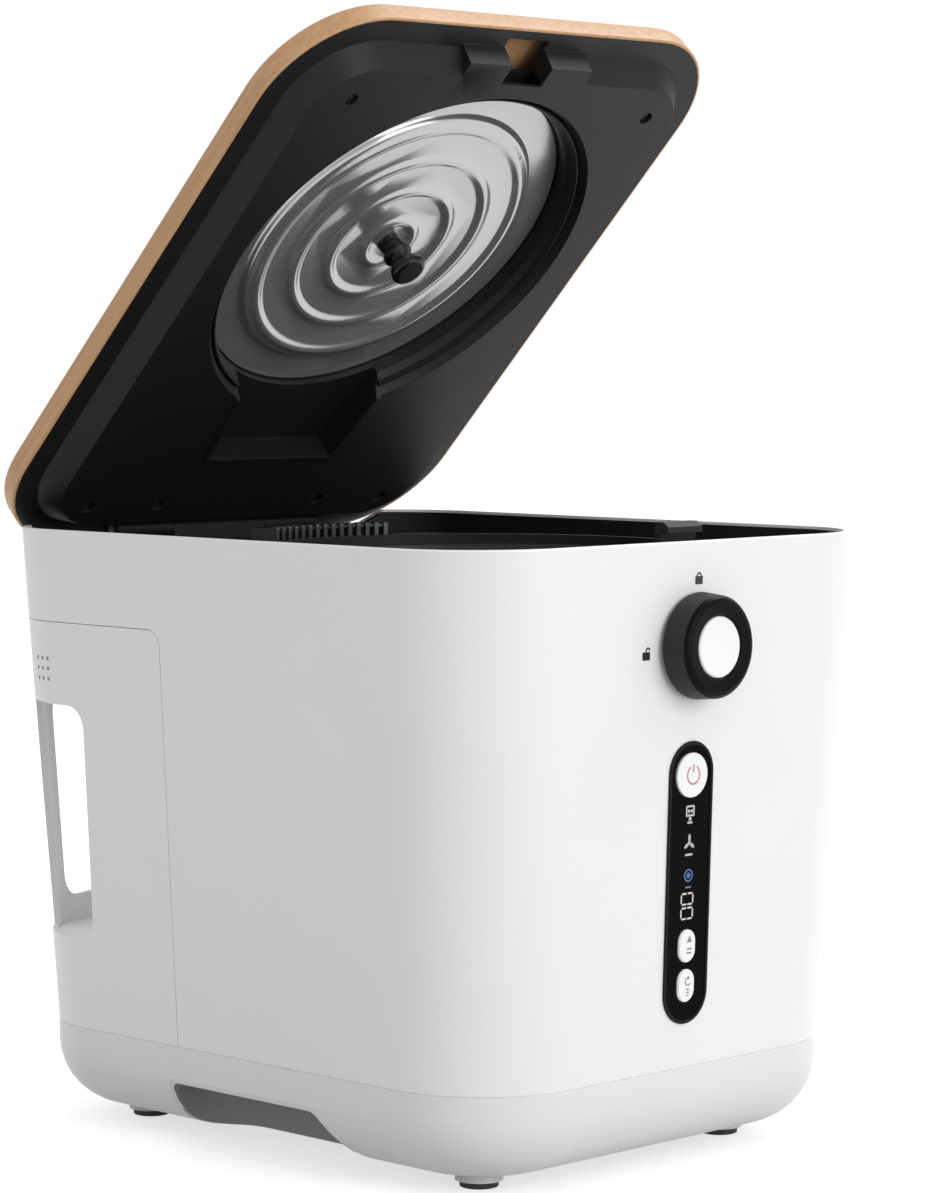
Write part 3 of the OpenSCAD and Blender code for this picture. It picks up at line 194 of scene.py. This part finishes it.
def moulded(name, color, gloss=0.4, grain=1500.0, bump_mm=0.012, gloss_change=0.06, shade_change=0.03,
            shine=0.5, metal=0.0):
    """A moulded, cast or pressed surface in one colour, with the shared spark texture."""
    material, tree, shader = new_material(name)
    shader.inputs["Specular IOR Level"].default_value = shine
    shader.inputs["Metallic"].default_value = metal
    surface = tree.nodes.new("ShaderNodeGroup")
    surface.node_tree = MOULDED
    surface.inputs["Grain Scale"].default_value = grain
    surface.inputs["Gloss"].default_value = gloss
    surface.inputs["Gloss Change"].default_value = gloss_change
    surface.inputs["Shade Change"].default_value = shade_change
    tint = tree.nodes.new("ShaderNodeMix")
    tint.data_type = "RGBA"
    tint.blend_type = "MULTIPLY"
    tint.inputs["Factor"].default_value = 1.0
    tint.inputs["A"].default_value = (*color, 1.0)
    tree.links.new(surface.outputs["Shade"], tint.inputs["B"])
    tree.links.new(tint.outputs["Result"], shader.inputs["Base Color"])
    tree.links.new(surface.outputs["Roughness"], shader.inputs["Roughness"])
    if bump_mm > 0:
        bump = tree.nodes.new("ShaderNodeBump")
        bump.inputs["Distance"].default_value = bump_mm * MM
        bump.inputs["Strength"].default_value = BUMP_STRENGTH
        tree.links.new(surface.outputs["Height"], bump.inputs["Height"])
        tree.links.new(bump.outputs["Normal"], shader.inputs["Normal"])
    return material


def dress(material, *nodes):
    """Gives CAD nodes whose shape is already right their finish."""
    for node in nodes:
        slots = frame["nodes"][node].data.materials
        slots.clear()
        slots.append(material)


def part_painted(piece, material, wanted):
    """Gives some faces of a piece a second finish."""
    piece.data.materials.append(material)
    for face in piece.data.polygons:
        if wanted(face):
            face.material_index = 1


shell_white = moulded("satin white shell", SHELL_WHITE, SHELL_ROUGHNESS, bump_mm=SHELL_GRAIN_MM)
skin_of("housing", shell_white, SHELL_CREASE)

# Base tray, in the same white but a shade duller, with its grey recess linings and rubber feet.
# The feet are plugged into bosses, and the linings snap into the tray from inside.
BASE_WHITE = (0.725, 0.725, 0.72)
LINING_EDGE = 0.112
FACES_OUT = 0.5
base_white = moulded("satin white base", BASE_WHITE, SHELL_ROUGHNESS, bump_mm=SHELL_GRAIN_MM)
lining_grey = moulded("grey lining", (0.27, 0.27, 0.27), gloss=0.55, bump_mm=0.02)
foot_rubber = moulded("foot rubber", (0.022, 0.022, 0.022), gloss=0.7, grain=900.0, bump_mm=0.05)
skin_of("base_tray", base_white, SHELL_CREASE)
lining = skin_of("recess_linings", lining_grey)
part_painted(
    lining, base_white,
    lambda face: abs(face.normal.x) > FACES_OUT and abs(face.center.x) > LINING_EDGE,
)
skin_of("foot_pads", foot_rubber, edge_mm=0.6)

# Rear cover, the white shell round the rear corners, with the wells behind its grips and the door
# that pulls the filter out. The wells are moulded apart and clip in behind; their white is painted brighter
# than the shell's, as painted light against the shade inside the grips.
WELL_WHITE_PAINTED_LIGHT = (0.86, 0.86, 0.855)
# Painted light: the wells' white is lighter than the shell's to stand in for light reaching inside the
# grips.
well_painted_light = moulded("wells white with painted light", WELL_WHITE_PAINTED_LIGHT, gloss=0.45, bump_mm=SHELL_GRAIN_MM)
skin_of("rear_cover", shell_white, SHELL_CREASE)
skin_of("grip_wells", well_painted_light)
skin_of("filter_door", shell_white, edge_mm=0.5)

# Black top deck, hinge and latch parts and power inlet, moulded in one fine matt black plastic. The
# curved air grille is glossier, so that its ribs catch the light, and its black is painted lighter than the
# deck's as a painted sheen on the ribs. The deck snaps in under the rim.
FRAME_BLACK = (0.010, 0.010, 0.010)
# Painted sheen: the grille's black is lighter than the frame's to stand in for highlights on its ribs.
GRILLE_BLACK_PAINTED_SHEEN = (0.030, 0.030, 0.030)
BLACK_GRAIN = 1300.0
RIB_CREASE = 50.0
frame_black = moulded("matt black plastic", FRAME_BLACK, 0.46, BLACK_GRAIN, bump_mm=0.01, shine=0.2)
grille_painted_sheen = moulded("satin black grille with painted sheen", GRILLE_BLACK_PAINTED_SHEEN, 0.3, BLACK_GRAIN, bump_mm=0.0, shine=0.5)
for node in ("top_deck", "hinge_knuckle", "latch_hook", "latch_guide", "power_inlet"):
    skin_of(node, frame_black, edge_mm=0.3)
skin_of("air_grille", grille_painted_sheen, RIB_CREASE)

# Lid cap, a thin shell with the look of straight grained wood, satin lacquered. The grain runs
# from the hinge to the front edge.
WOOD_LIGHT = (0.54, 0.31, 0.152)
WOOD_DARK = (0.375, 0.19, 0.08)
LID_OPEN = math.radians(45.2)
BAND_SCALE = 30.0
FIBRE_SCALE = 420.0
PORE_SCALE = 900.0
WOOD_GRAIN_MM = 0.06
ROUNDED_CREASE = 24.0


def wood_group():
    """Straight grain along the closed lid's Y: broad bands, fine fibres and short pores."""
    tree, given, put = group_nodes("Wood grain", [("Turn", 0.0)], ["Fibre", "Band"])
    place = tree.nodes.new("ShaderNodeTexCoord").outputs["Object"]
    turn = tree.nodes.new("ShaderNodeVectorRotate")
    turn.rotation_type = "X_AXIS"
    tree.links.new(place, turn.inputs["Vector"])
    tree.links.new(given.outputs["Turn"], turn.inputs["Angle"])
    along = turn.outputs[0]
    band = noise_node(tree, along, BAND_SCALE, 3.0, 0.55, stretch=(1.0, 0.05, 1.0))
    fibre = noise_node(tree, along, FIBRE_SCALE, 4.0, 0.62, stretch=(1.0, 0.02, 1.0))
    pore = noise_node(tree, along, PORE_SCALE, 1.0, 0.5, stretch=(1.0, 0.035, 1.0))
    pores = math_node(tree, "SMOOTH_MIN", math_node(tree, "MULTIPLY", pore, 2.4), 1.0, 0.1)
    tree.links.new(math_node(tree, "MULTIPLY", fibre, pores), put.inputs["Fibre"])
    tree.links.new(band, put.inputs["Band"])
    return tree


def wood_material():
    """Satin lacquered wood, darker where a pore or a dark band runs."""
    material, tree, shader = new_material("straight grained wood")
    grain = tree.nodes.new("ShaderNodeGroup")
    grain.node_tree = wood_group()
    grain.inputs["Turn"].default_value = LID_OPEN
    mixed = math_node(
        tree, "MULTIPLY_ADD", grain.outputs["Fibre"], 0.75,
        math_node(tree, "MULTIPLY", grain.outputs["Band"], 0.6),
    )
    ramp = tree.nodes.new("ShaderNodeValToRGB")
    ramp.color_ramp.elements[0].position = 0.32
    ramp.color_ramp.elements[0].color = (*WOOD_DARK, 1.0)
    ramp.color_ramp.elements[1].position = 0.78
    ramp.color_ramp.elements[1].color = (*WOOD_LIGHT, 1.0)
    tree.links.new(mixed, ramp.inputs["Fac"])
    tree.links.new(ramp.outputs["Color"], shader.inputs["Base Color"])
    rough = math_node(tree, "MULTIPLY_ADD", grain.outputs["Fibre"], -0.12, 0.5)
    tree.links.new(rough, shader.inputs["Roughness"])
    bump = tree.nodes.new("ShaderNodeBump")
    bump.inputs["Distance"].default_value = WOOD_GRAIN_MM * MM
    bump.inputs["Strength"].default_value = 0.5
    tree.links.new(grain.outputs["Fibre"], bump.inputs["Height"])
    tree.links.new(bump.outputs["Normal"], shader.inputs["Normal"])
    return material


skin_of("lid_top", wood_material(), ROUNDED_CREASE)

# Lid frame, the black moulding screwed under the cap, with its rubber gasket pressed into the
# recess and six dark screws sunk in round holes.
screw_steel = moulded("dark screws", (0.02, 0.02, 0.02), gloss=0.35)
gasket_rubber = moulded("gasket rubber", FRAME_BLACK, 0.6, grain=900.0, bump_mm=0.03, shine=0.15)
skin_of("lid_frame", frame_black, ROUNDED_CREASE, edge_mm=0.35)
skin_of("lid_gasket", gasket_rubber)
skin_of("lid_screws", screw_steel, edge_mm=0.3)

# Ripple plate, pressed from thin stainless steel and polished, so its ripples are true geometry. A
# turned black knob is screwed to its middle.
RIPPLE_STEEL = (0.48, 0.48, 0.475)
PLAIN_STEEL = (0.5, 0.5, 0.5)
STEEL_GRAIN = 700.0
RIPPLE_CREASE = 60.0
ripple_steel = moulded("polished ripple steel", RIPPLE_STEEL, 0.19, STEEL_GRAIN, bump_mm=0.0,
                       gloss_change=0.05, shade_change=0.08, metal=0.74)
plain_steel = moulded("plain steel", PLAIN_STEEL, 0.32, STEEL_GRAIN, bump_mm=0.0,
                      gloss_change=0.1, shade_change=0.1, metal=1.0)
knob_black = moulded("gloss black knob", (0.006, 0.006, 0.006), gloss=0.22, bump_mm=0.0, shine=0.3)
skin_of("lid_plate", ripple_steel, RIPPLE_CREASE)
skin_of("plate_knob", knob_black, ROUNDED_CREASE, edge_mm=0.4)

# Lock knob, moulded in soft black with a glossier face, and a white cap pressed into it. Its side is
# painted a lighter black as a painted sheen, and its front face a darker black as painted shade. It sits on
# a steel shaft whose stepped cam works the latch.
KNOB_SIDE_PAINTED_SHEEN = (0.016, 0.016, 0.016)
KNOB_FACE_PAINTED_SHADE = (0.0035, 0.0035, 0.0035)
KNOB_GRAIN = 1200.0
FACES_FRONT = 0.55
# Two copies of one black: the side painted lighter as a painted sheen, the face painted darker as painted
# shade.
knob_side_painted_sheen = moulded("knob side with painted sheen", KNOB_SIDE_PAINTED_SHEEN, 0.5, KNOB_GRAIN, bump_mm=0.012, shine=0.25)
knob_face_painted_shade = moulded("gloss knob face with painted shade", KNOB_FACE_PAINTED_SHADE, 0.3, KNOB_GRAIN, bump_mm=0.0, shine=0.06)
button_white = moulded("button white", (0.84, 0.84, 0.84), gloss=0.3, bump_mm=0.004)
knob = skin_of("lock_knob", knob_side_painted_sheen, ROUNDED_CREASE, edge_mm=0.5)
# The front-facing faces take the darker copy, the painted shade of the knob's face.
part_painted(knob, knob_face_painted_shade, lambda face: face.normal.y < -FACES_FRONT)
skin_of("knob_cap", button_white, ROUNDED_CREASE)
skin_of("knob_shaft", plain_steel, edge_mm=0.2)

# Control panel: gloss black face and raised rim, white push buttons, and marks screen printed in
# ink a tenth of a millimetre thick. The two digits are lit segments in the face, laid sideways.
PANEL_BLACK = (0.0012, 0.0012, 0.0015)
RIM_BLACK = (0.003, 0.003, 0.003)
panel_black = moulded("gloss black panel", PANEL_BLACK, 0.14, grain=900.0, bump_mm=0.0,
                      gloss_change=0.02, shine=0.03)
rim_black = moulded("gloss black panel rim", RIM_BLACK, 0.2, grain=900.0, bump_mm=0.0,
                    gloss_change=0.02, shine=0.12)
skin_of("panel_bezel", rim_black, edge_mm=0.4)
skin_of("panel_face", panel_black, edge_mm=0.1)
for node in ("power_button", "upper_button", "lower_button"):
    skin_of(node, button_white, ROUNDED_CREASE, edge_mm=0.35)

RIM_HEIGHT = 276.0
SEAM_HEIGHT = 46.5
RIM_HALF_DEPTH = 162.5
END_TAPER = 8.0
FRONT_TILT = math.atan(END_TAPER / (RIM_HEIGHT - SEAM_HEIGHT))
INK_MM = 0.12
FACE_PROUD = 0.4
BUTTON_PROUD = 1.3
POWER_DISH = 0.3
ARC_STEP = 8.0
MARK_HEIGHTS = {
    "power": 174.87, "dry": 158.0, "stir": 144.4, "cool": 131.1, "line": 126.0,
    "upper digit": 120.9, "lower digit": 114.6, "start": 100.3, "clean": 82.9,
}


def front_place(x, height, proud):
    """The place on the sloping front at a height: x to the right, y up the face, z out of it."""
    depth = RIM_HALF_DEPTH - END_TAPER * (RIM_HEIGHT - height) / (RIM_HEIGHT - SEAM_HEIGHT)
    spot = Matrix.Translation(Vector((x, -depth, height)) * MM)
    lean = Matrix.Rotation(math.radians(90.0) + FRONT_TILT, 4, "X")
    return spot @ lean @ Matrix.Translation((0.0, 0.0, proud * MM))


def bar(mesh, x, y, width, height, turn=0.0):
    """A flat printed bar, in millimetres, turned about its own middle."""
    made = bmesh.ops.create_grid(mesh, x_segments=1, y_segments=1, size=0.5)
    spot = Matrix.Translation((x, y, 0.0)) @ Matrix.Rotation(math.radians(turn), 4, "Z")
    bmesh.ops.transform(mesh, matrix=spot @ Matrix.Diagonal((width, height, 1.0, 1.0)), verts=made["verts"])


def arc(mesh, x, y, radius, width, start=0.0, sweep=360.0):
    """A flat printed ring or part of one, in millimetres and degrees."""
    ends = [mesh.verts.new((radius + side * width / 2, 0.0, 0.0)) for side in (-1, 1)]
    line = mesh.edges.new(ends)
    bmesh.ops.rotate(mesh, verts=ends, matrix=Matrix.Rotation(math.radians(start), 3, "Z"))
    steps = max(6, round(sweep / ARC_STEP))
    before = set(mesh.verts) - set(ends)
    bmesh.ops.spin(mesh, geom=ends + [line], axis=(0, 0, 1), angle=math.radians(sweep), steps=steps,
                   use_merge=sweep >= 360.0)
    made = [vert for vert in mesh.verts if vert not in before]
    bmesh.ops.translate(mesh, verts=made, vec=(x, y, 0.0))


def dot(mesh, x, y, radius, sides=24):
    """A flat printed disc, or a triangle when it has three sides."""
    spot = Matrix.Translation((x, y, 0.0))
    bmesh.ops.create_circle(mesh, cap_ends=True, segments=sides, radius=radius, matrix=spot)


def printed(name, mesh, place, material, body):
    """Gives a flat mark its ink thickness and lays it on its surface."""
    bmesh.ops.recalc_face_normals(mesh, faces=mesh.faces)
    for face in mesh.faces:
        if face.normal.z < 0:
            face.normal_flip()
    rise = bmesh.ops.extrude_face_region(mesh, geom=mesh.faces[:])
    raised = [item for item in rise["geom"] if isinstance(item, bmesh.types.BMVert)]
    bmesh.ops.translate(mesh, verts=raised, vec=(0.0, 0.0, INK_MM))
    bmesh.ops.transform(mesh, matrix=place @ Matrix.Scale(MM, 4), verts=mesh.verts)
    bmesh.ops.recalc_face_normals(mesh, faces=mesh.faces)
    return finished(name, mesh, material, body)


def on_panel(mark, x=0.0):
    """The place of a mark on the panel's face, at its own height."""
    return front_place(x, MARK_HEIGHTS[mark], FACE_PROUD)


def on_button(mark, x=0.0, sunk=0.0):
    """The place of a mark on a button's top, at its own height."""
    return front_place(x, MARK_HEIGHTS[mark], BUTTON_PROUD - sunk)


INK_GRAIN = 2400.0


def ink(name, color, glow=0.0):
    """Screen printing ink with a faint grain, or with a glow a lamp behind the face."""
    material = moulded(name, color, 0.45, INK_GRAIN, bump_mm=0.003, shade_change=0.1)
    shader = material.node_tree.nodes["Principled BSDF"]
    shader.inputs["Emission Color"].default_value = (*color, 1.0)
    shader.inputs["Emission Strength"].default_value = glow
    return material


dark_ink = ink("black ink", (0.008, 0.008, 0.008))
white_ink = ink("white ink", (0.50, 0.50, 0.50))
dim_ink = ink("dim ink", (0.16, 0.16, 0.16))
blue_ink = ink("blue lamp", (0.045, 0.115, 0.30), 0.05)
red_ink = ink("red ink", (0.46, 0.17, 0.18))
grey_ink = ink("grey button ink", (0.22, 0.22, 0.22))
digit_light = ink("digit light", (0.55, 0.57, 0.57), 0.1)


def padlock(name, x, height, lifted):
    """A padlock mark: its case, and a shackle that stands open when lifted."""
    mark = bmesh.new()
    bar(mark, 0.0, 0.0, 4.7, 3.5)
    slip = 1.0 if lifted else 0.0
    arc(mark, slip, 2.0 + 0.3 * slip, 1.15, 0.7, sweep=180.0)
    bar(mark, slip - 1.15, 1.8 + 0.2 * slip, 0.7, 0.6)
    if not lifted:
        bar(mark, 1.15, 1.8, 0.7, 0.6)
    printed(name, mark, front_place(x, height, 0.0), dark_ink, "body")


padlock("locked_mark", 1.6, 259.0, False)
padlock("unlocked_mark", -30.8, 228.0, True)

# The power mark is a broken ring with a bar, at the bottom of the button's shallow dish
mark = bmesh.new()
arc(mark, 0.0, 0.0, 3.9, 0.75, start=118.0, sweep=304.0)
bar(mark, 0.0, 3.0, 0.75, 3.4)
printed("power_mark", mark, on_button("power", 0.8, POWER_DISH), red_ink, "power_key")

# The dry mark is a pot on its stand, with a dark window that shows two drops
mark = bmesh.new()
for x in (-2.35, 2.35):
    bar(mark, x, 1.2, 0.8, 4.6)
bar(mark, 0.0, 3.3, 4.2, 0.8)
bar(mark, 0.0, -0.7, 4.2, 0.9)
for x in (-0.9, 0.9):
    dot(mark, x, 1.2, 0.75, sides=12)
bar(mark, 0.0, -2.2, 1.6, 1.5)
bar(mark, 0.0, -3.8, 3.2, 0.9)
printed("dry_mark", mark, on_panel("dry"), white_ink, "body")

# The stir mark is a propeller of three tapered blades over a line
mark = bmesh.new()
dot(mark, 0.0, 1.0, 0.9, sides=16)
for turn in (90.0, 215.0, 325.0):
    reach = Vector((math.cos(math.radians(turn)), math.sin(math.radians(turn))))
    for step, size in ((1.0, 1.0), (1.7, 1.5), (2.5, 1.5), (3.2, 0.9)):
        bar(mark, step * reach.x, step * reach.y + 1.0, 1.0, size, turn)
bar(mark, -0.2, -4.2, 4.6, 0.9)
printed("stir_mark", mark, on_panel("stir"), white_ink, "body")

# The cool mark is a lit blue ring with a dot, over a dim line
mark = bmesh.new()
arc(mark, 0.0, 0.0, 2.5, 0.7)
dot(mark, 0.0, 0.0, 1.3)
printed("cool_mark", mark, on_panel("cool"), blue_ink, "body")
mark = bmesh.new()
bar(mark, 0.0, 0.0, 3.6, 0.7)
printed("cool_line", mark, on_panel("line"), dim_ink, "body")

# Each digit lies on its side: two short end segments and four long side segments
DIGIT_LONG = 7.4
DIGIT_WIDE = 4.7
SEGMENT = 0.75
END_GAP = 0.3
SIDE_GAP = 0.1
END_SEGMENT = DIGIT_WIDE - SEGMENT - END_GAP
SIDE_SEGMENT = DIGIT_LONG / 2 - SEGMENT - SIDE_GAP
for which in ("upper", "lower"):
    digit = bmesh.new()
    for x in (-1, 1):
        bar(digit, x * DIGIT_LONG / 2, 0.0, SEGMENT, END_SEGMENT)
        for y in (-1, 1):
            bar(digit, x * DIGIT_LONG / 4, y * DIGIT_WIDE / 2, SIDE_SEGMENT, SEGMENT)
    place = on_panel(which + " digit", -0.4)
    printed(which + "_digit", digit, place, digit_light, "body")

# The start mark is a triangle and two bars, the clean mark a turning arrow and a drop, both set
# sideways along their buttons
mark = bmesh.new()
dot(mark, 1.0, 2.6, 1.9, sides=3)
for y in (-1.2, -3.0):
    bar(mark, 1.0, y, 3.0, 0.7)
printed("start_mark", mark, on_button("start"), grey_ink, "upper_key")
mark = bmesh.new()
arc(mark, 0.8, 1.8, 1.6, 0.55, start=60.0, sweep=270.0)
dot(mark, 1.0, 3.4, 0.9, sides=3)
for y in (-1.6, -2.9, -4.2):
    bar(mark, 0.8, y, 2.6 + 0.3 * y, 0.55)
printed("clean_mark", mark, on_button("clean"), grey_ink, "lower_key")

# Bucket, a pressed and coated pot with its fixed teeth, the cast stirrer on its keyed shaft, and
# the spun metal well that holds them over the heater's cast ring.
bucket_coat = moulded("bucket coating", (0.03, 0.03, 0.032), 0.36, grain=600.0, bump_mm=0.02)
sheet_metal = moulded("spun aluminium", (0.55, 0.55, 0.56), 0.4, grain=500.0, bump_mm=0.0,
                      gloss_change=0.1, shade_change=0.08, metal=1.0)
cast_metal = moulded("cast heater metal", (0.50, 0.44, 0.34), 0.55, grain=350.0, bump_mm=0.05,
                     gloss_change=0.1, shade_change=0.12, metal=1.0)
skin_of("bucket", bucket_coat)
skin_of("bucket_well", sheet_metal)
for node in ("bucket_teeth", "stirrer"):
    skin_of(node, plain_steel, edge_mm=0.3)
dress(plain_steel, "output_shaft", "gear_axle", "hinge_pin", "hinge_springs", "base_screws")
dress(cast_metal, "heater_plate")

# Drive, hidden in the base: moulded gears in a glass filled case, a turned brass pinion on a
# painted motor, and brass bushes.
gear_ivory = moulded("natural gear plastic", (0.66, 0.60, 0.46), 0.45, grain=700.0, bump_mm=0.01)
case_grey = moulded("glass filled case", (0.09, 0.09, 0.095), 0.5, grain=500.0, bump_mm=0.02)
turned_brass = moulded("turned brass", (0.56, 0.40, 0.16), 0.3, grain=900.0, bump_mm=0.0,
                       gloss_change=0.08, shade_change=0.08, metal=1.0)
motor_paint = moulded("motor paint", (0.05, 0.05, 0.055), 0.42, grain=900.0, bump_mm=0.02)
dress(gear_ivory, "output_gear", "compound_gear")
dress(case_grey, "gearbox_case", "gearbox_cover")
dress(turned_brass, "motor_pinion", "shaft_bushes", "inlet_pins")
dress(motor_paint, "motor", "fan_motor")

# Air path and boards: black and pale mouldings for the fan and filter, a pressed carbon block, and
# green circuit boards.
fan_grey = moulded("pale fan plastic", (0.42, 0.42, 0.42), 0.45, grain=900.0, bump_mm=0.01)
carbon = moulded("pressed carbon", (0.012, 0.012, 0.013), 0.8, grain=260.0, bump_mm=0.2,
                 gloss_change=0.1, shade_change=0.25)
board_green = moulded("circuit board", (0.015, 0.09, 0.035), 0.35, grain=400.0, bump_mm=0.02,
                      gloss_change=0.08, shade_change=0.2)
dress(frame_black, "fan_housing", "air_duct")
dress(fan_grey, "fan_wheel", "filter_sleeve")
dress(carbon, "filter_cartridge")
dress(board_green, "main_board", "control_board")

# Stage: a pale floor that keeps the object's soft shadow, a white backdrop, soft lamps and the
# photograph's camera.
FLOOR_SIZE = 6.0
FLOOR_GREY = 0.55
FLOOR_LIFT = 0.66
ROOM_LIGHT = 0.80
WHITE = (1.0, 1.0, 1.0, 1.0)


def seen_directly(tree):
    """1 for rays from the camera, in a reflection or through glass, and 0 for other rays."""
    path = tree.nodes.new("ShaderNodeLightPath")
    seen = math_node(tree, "MAXIMUM", path.outputs["Is Camera Ray"], path.outputs["Is Glossy Ray"])
    return math_node(tree, "MAXIMUM", seen, path.outputs["Is Transmission Ray"])


stage_white, stage_tree, stage_shader = new_material("pale floor")
stage_shader.inputs["Base Color"].default_value = (FLOOR_GREY, FLOOR_GREY, FLOOR_GREY, 1.0)
stage_shader.inputs["Roughness"].default_value = 0.9
stage_shader.inputs["Specular IOR Level"].default_value = 0.0
stage_shader.inputs["Emission Color"].default_value = WHITE
lift = math_node(stage_tree, "MULTIPLY", seen_directly(stage_tree), FLOOR_LIFT)
stage_tree.links.new(lift, stage_shader.inputs["Emission Strength"])
floor_mesh = bmesh.new()
bmesh.ops.create_grid(floor_mesh, x_segments=1, y_segments=1, size=FLOOR_SIZE)
floor_data = bpy.data.meshes.new("floor")
floor_mesh.to_mesh(floor_data)
floor_mesh.free()
floor = bpy.data.objects.new("floor", floor_data)
bpy.context.scene.collection.objects.link(floor)
floor_data.materials.append(stage_white)

world = bpy.data.worlds.new("pale room")
bpy.context.scene.world = world
world.use_nodes = True
room = world.node_tree
room_light = math_node(room, "MULTIPLY_ADD", seen_directly(room), 1.0 - ROOM_LIGHT, ROOM_LIGHT)
room.nodes["Background"].inputs["Color"].default_value = WHITE
room.links.new(room_light, room.nodes["Background"].inputs["Strength"])


def soft_lamp(name, place, aim, size, power):
    """A square soft box, in metres and watts, turned to what it lights."""
    lamp = bpy.data.lights.new(name, "AREA")
    lamp.shape = "SQUARE"
    lamp.size = size
    lamp.energy = power
    holder = bpy.data.objects.new(name, lamp)
    bpy.context.scene.collection.objects.link(holder)
    holder.location = place
    holder.rotation_euler = (Vector(aim) - Vector(place)).to_track_quat("-Z", "Y").to_euler()


soft_lamp("key lamp", place=(0.15, -2.6, 0.9), aim=(0.0, 0.0, 0.2), size=1.5, power=26.0)
soft_lamp("top lamp", place=(1.3, -0.25, 1.9), aim=(0.0, 0.0, 0.3), size=1.0, power=18.0)

CAMERA_PLACE = (-1.20974, -1.22773, 0.36088)
LOOKS_DOWN = 3.869
TURNED_RIGHT = 45.173
SENSOR_HEIGHT = 36.0
LENS = 113.47
camera_data = bpy.data.cameras.new("camera")
camera_data.sensor_fit = "VERTICAL"
camera_data.sensor_height = SENSOR_HEIGHT
camera_data.lens = LENS
camera = bpy.data.objects.new("camera", camera_data)
bpy.context.scene.collection.objects.link(camera)
camera.location = CAMERA_PLACE
camera.rotation_euler = (math.radians(90.0 - LOOKS_DOWN), 0.0, math.radians(-TURNED_RIGHT))
bpy.context.scene.camera = camera
bpy.context.scene.view_settings.view_transform = "Standard"
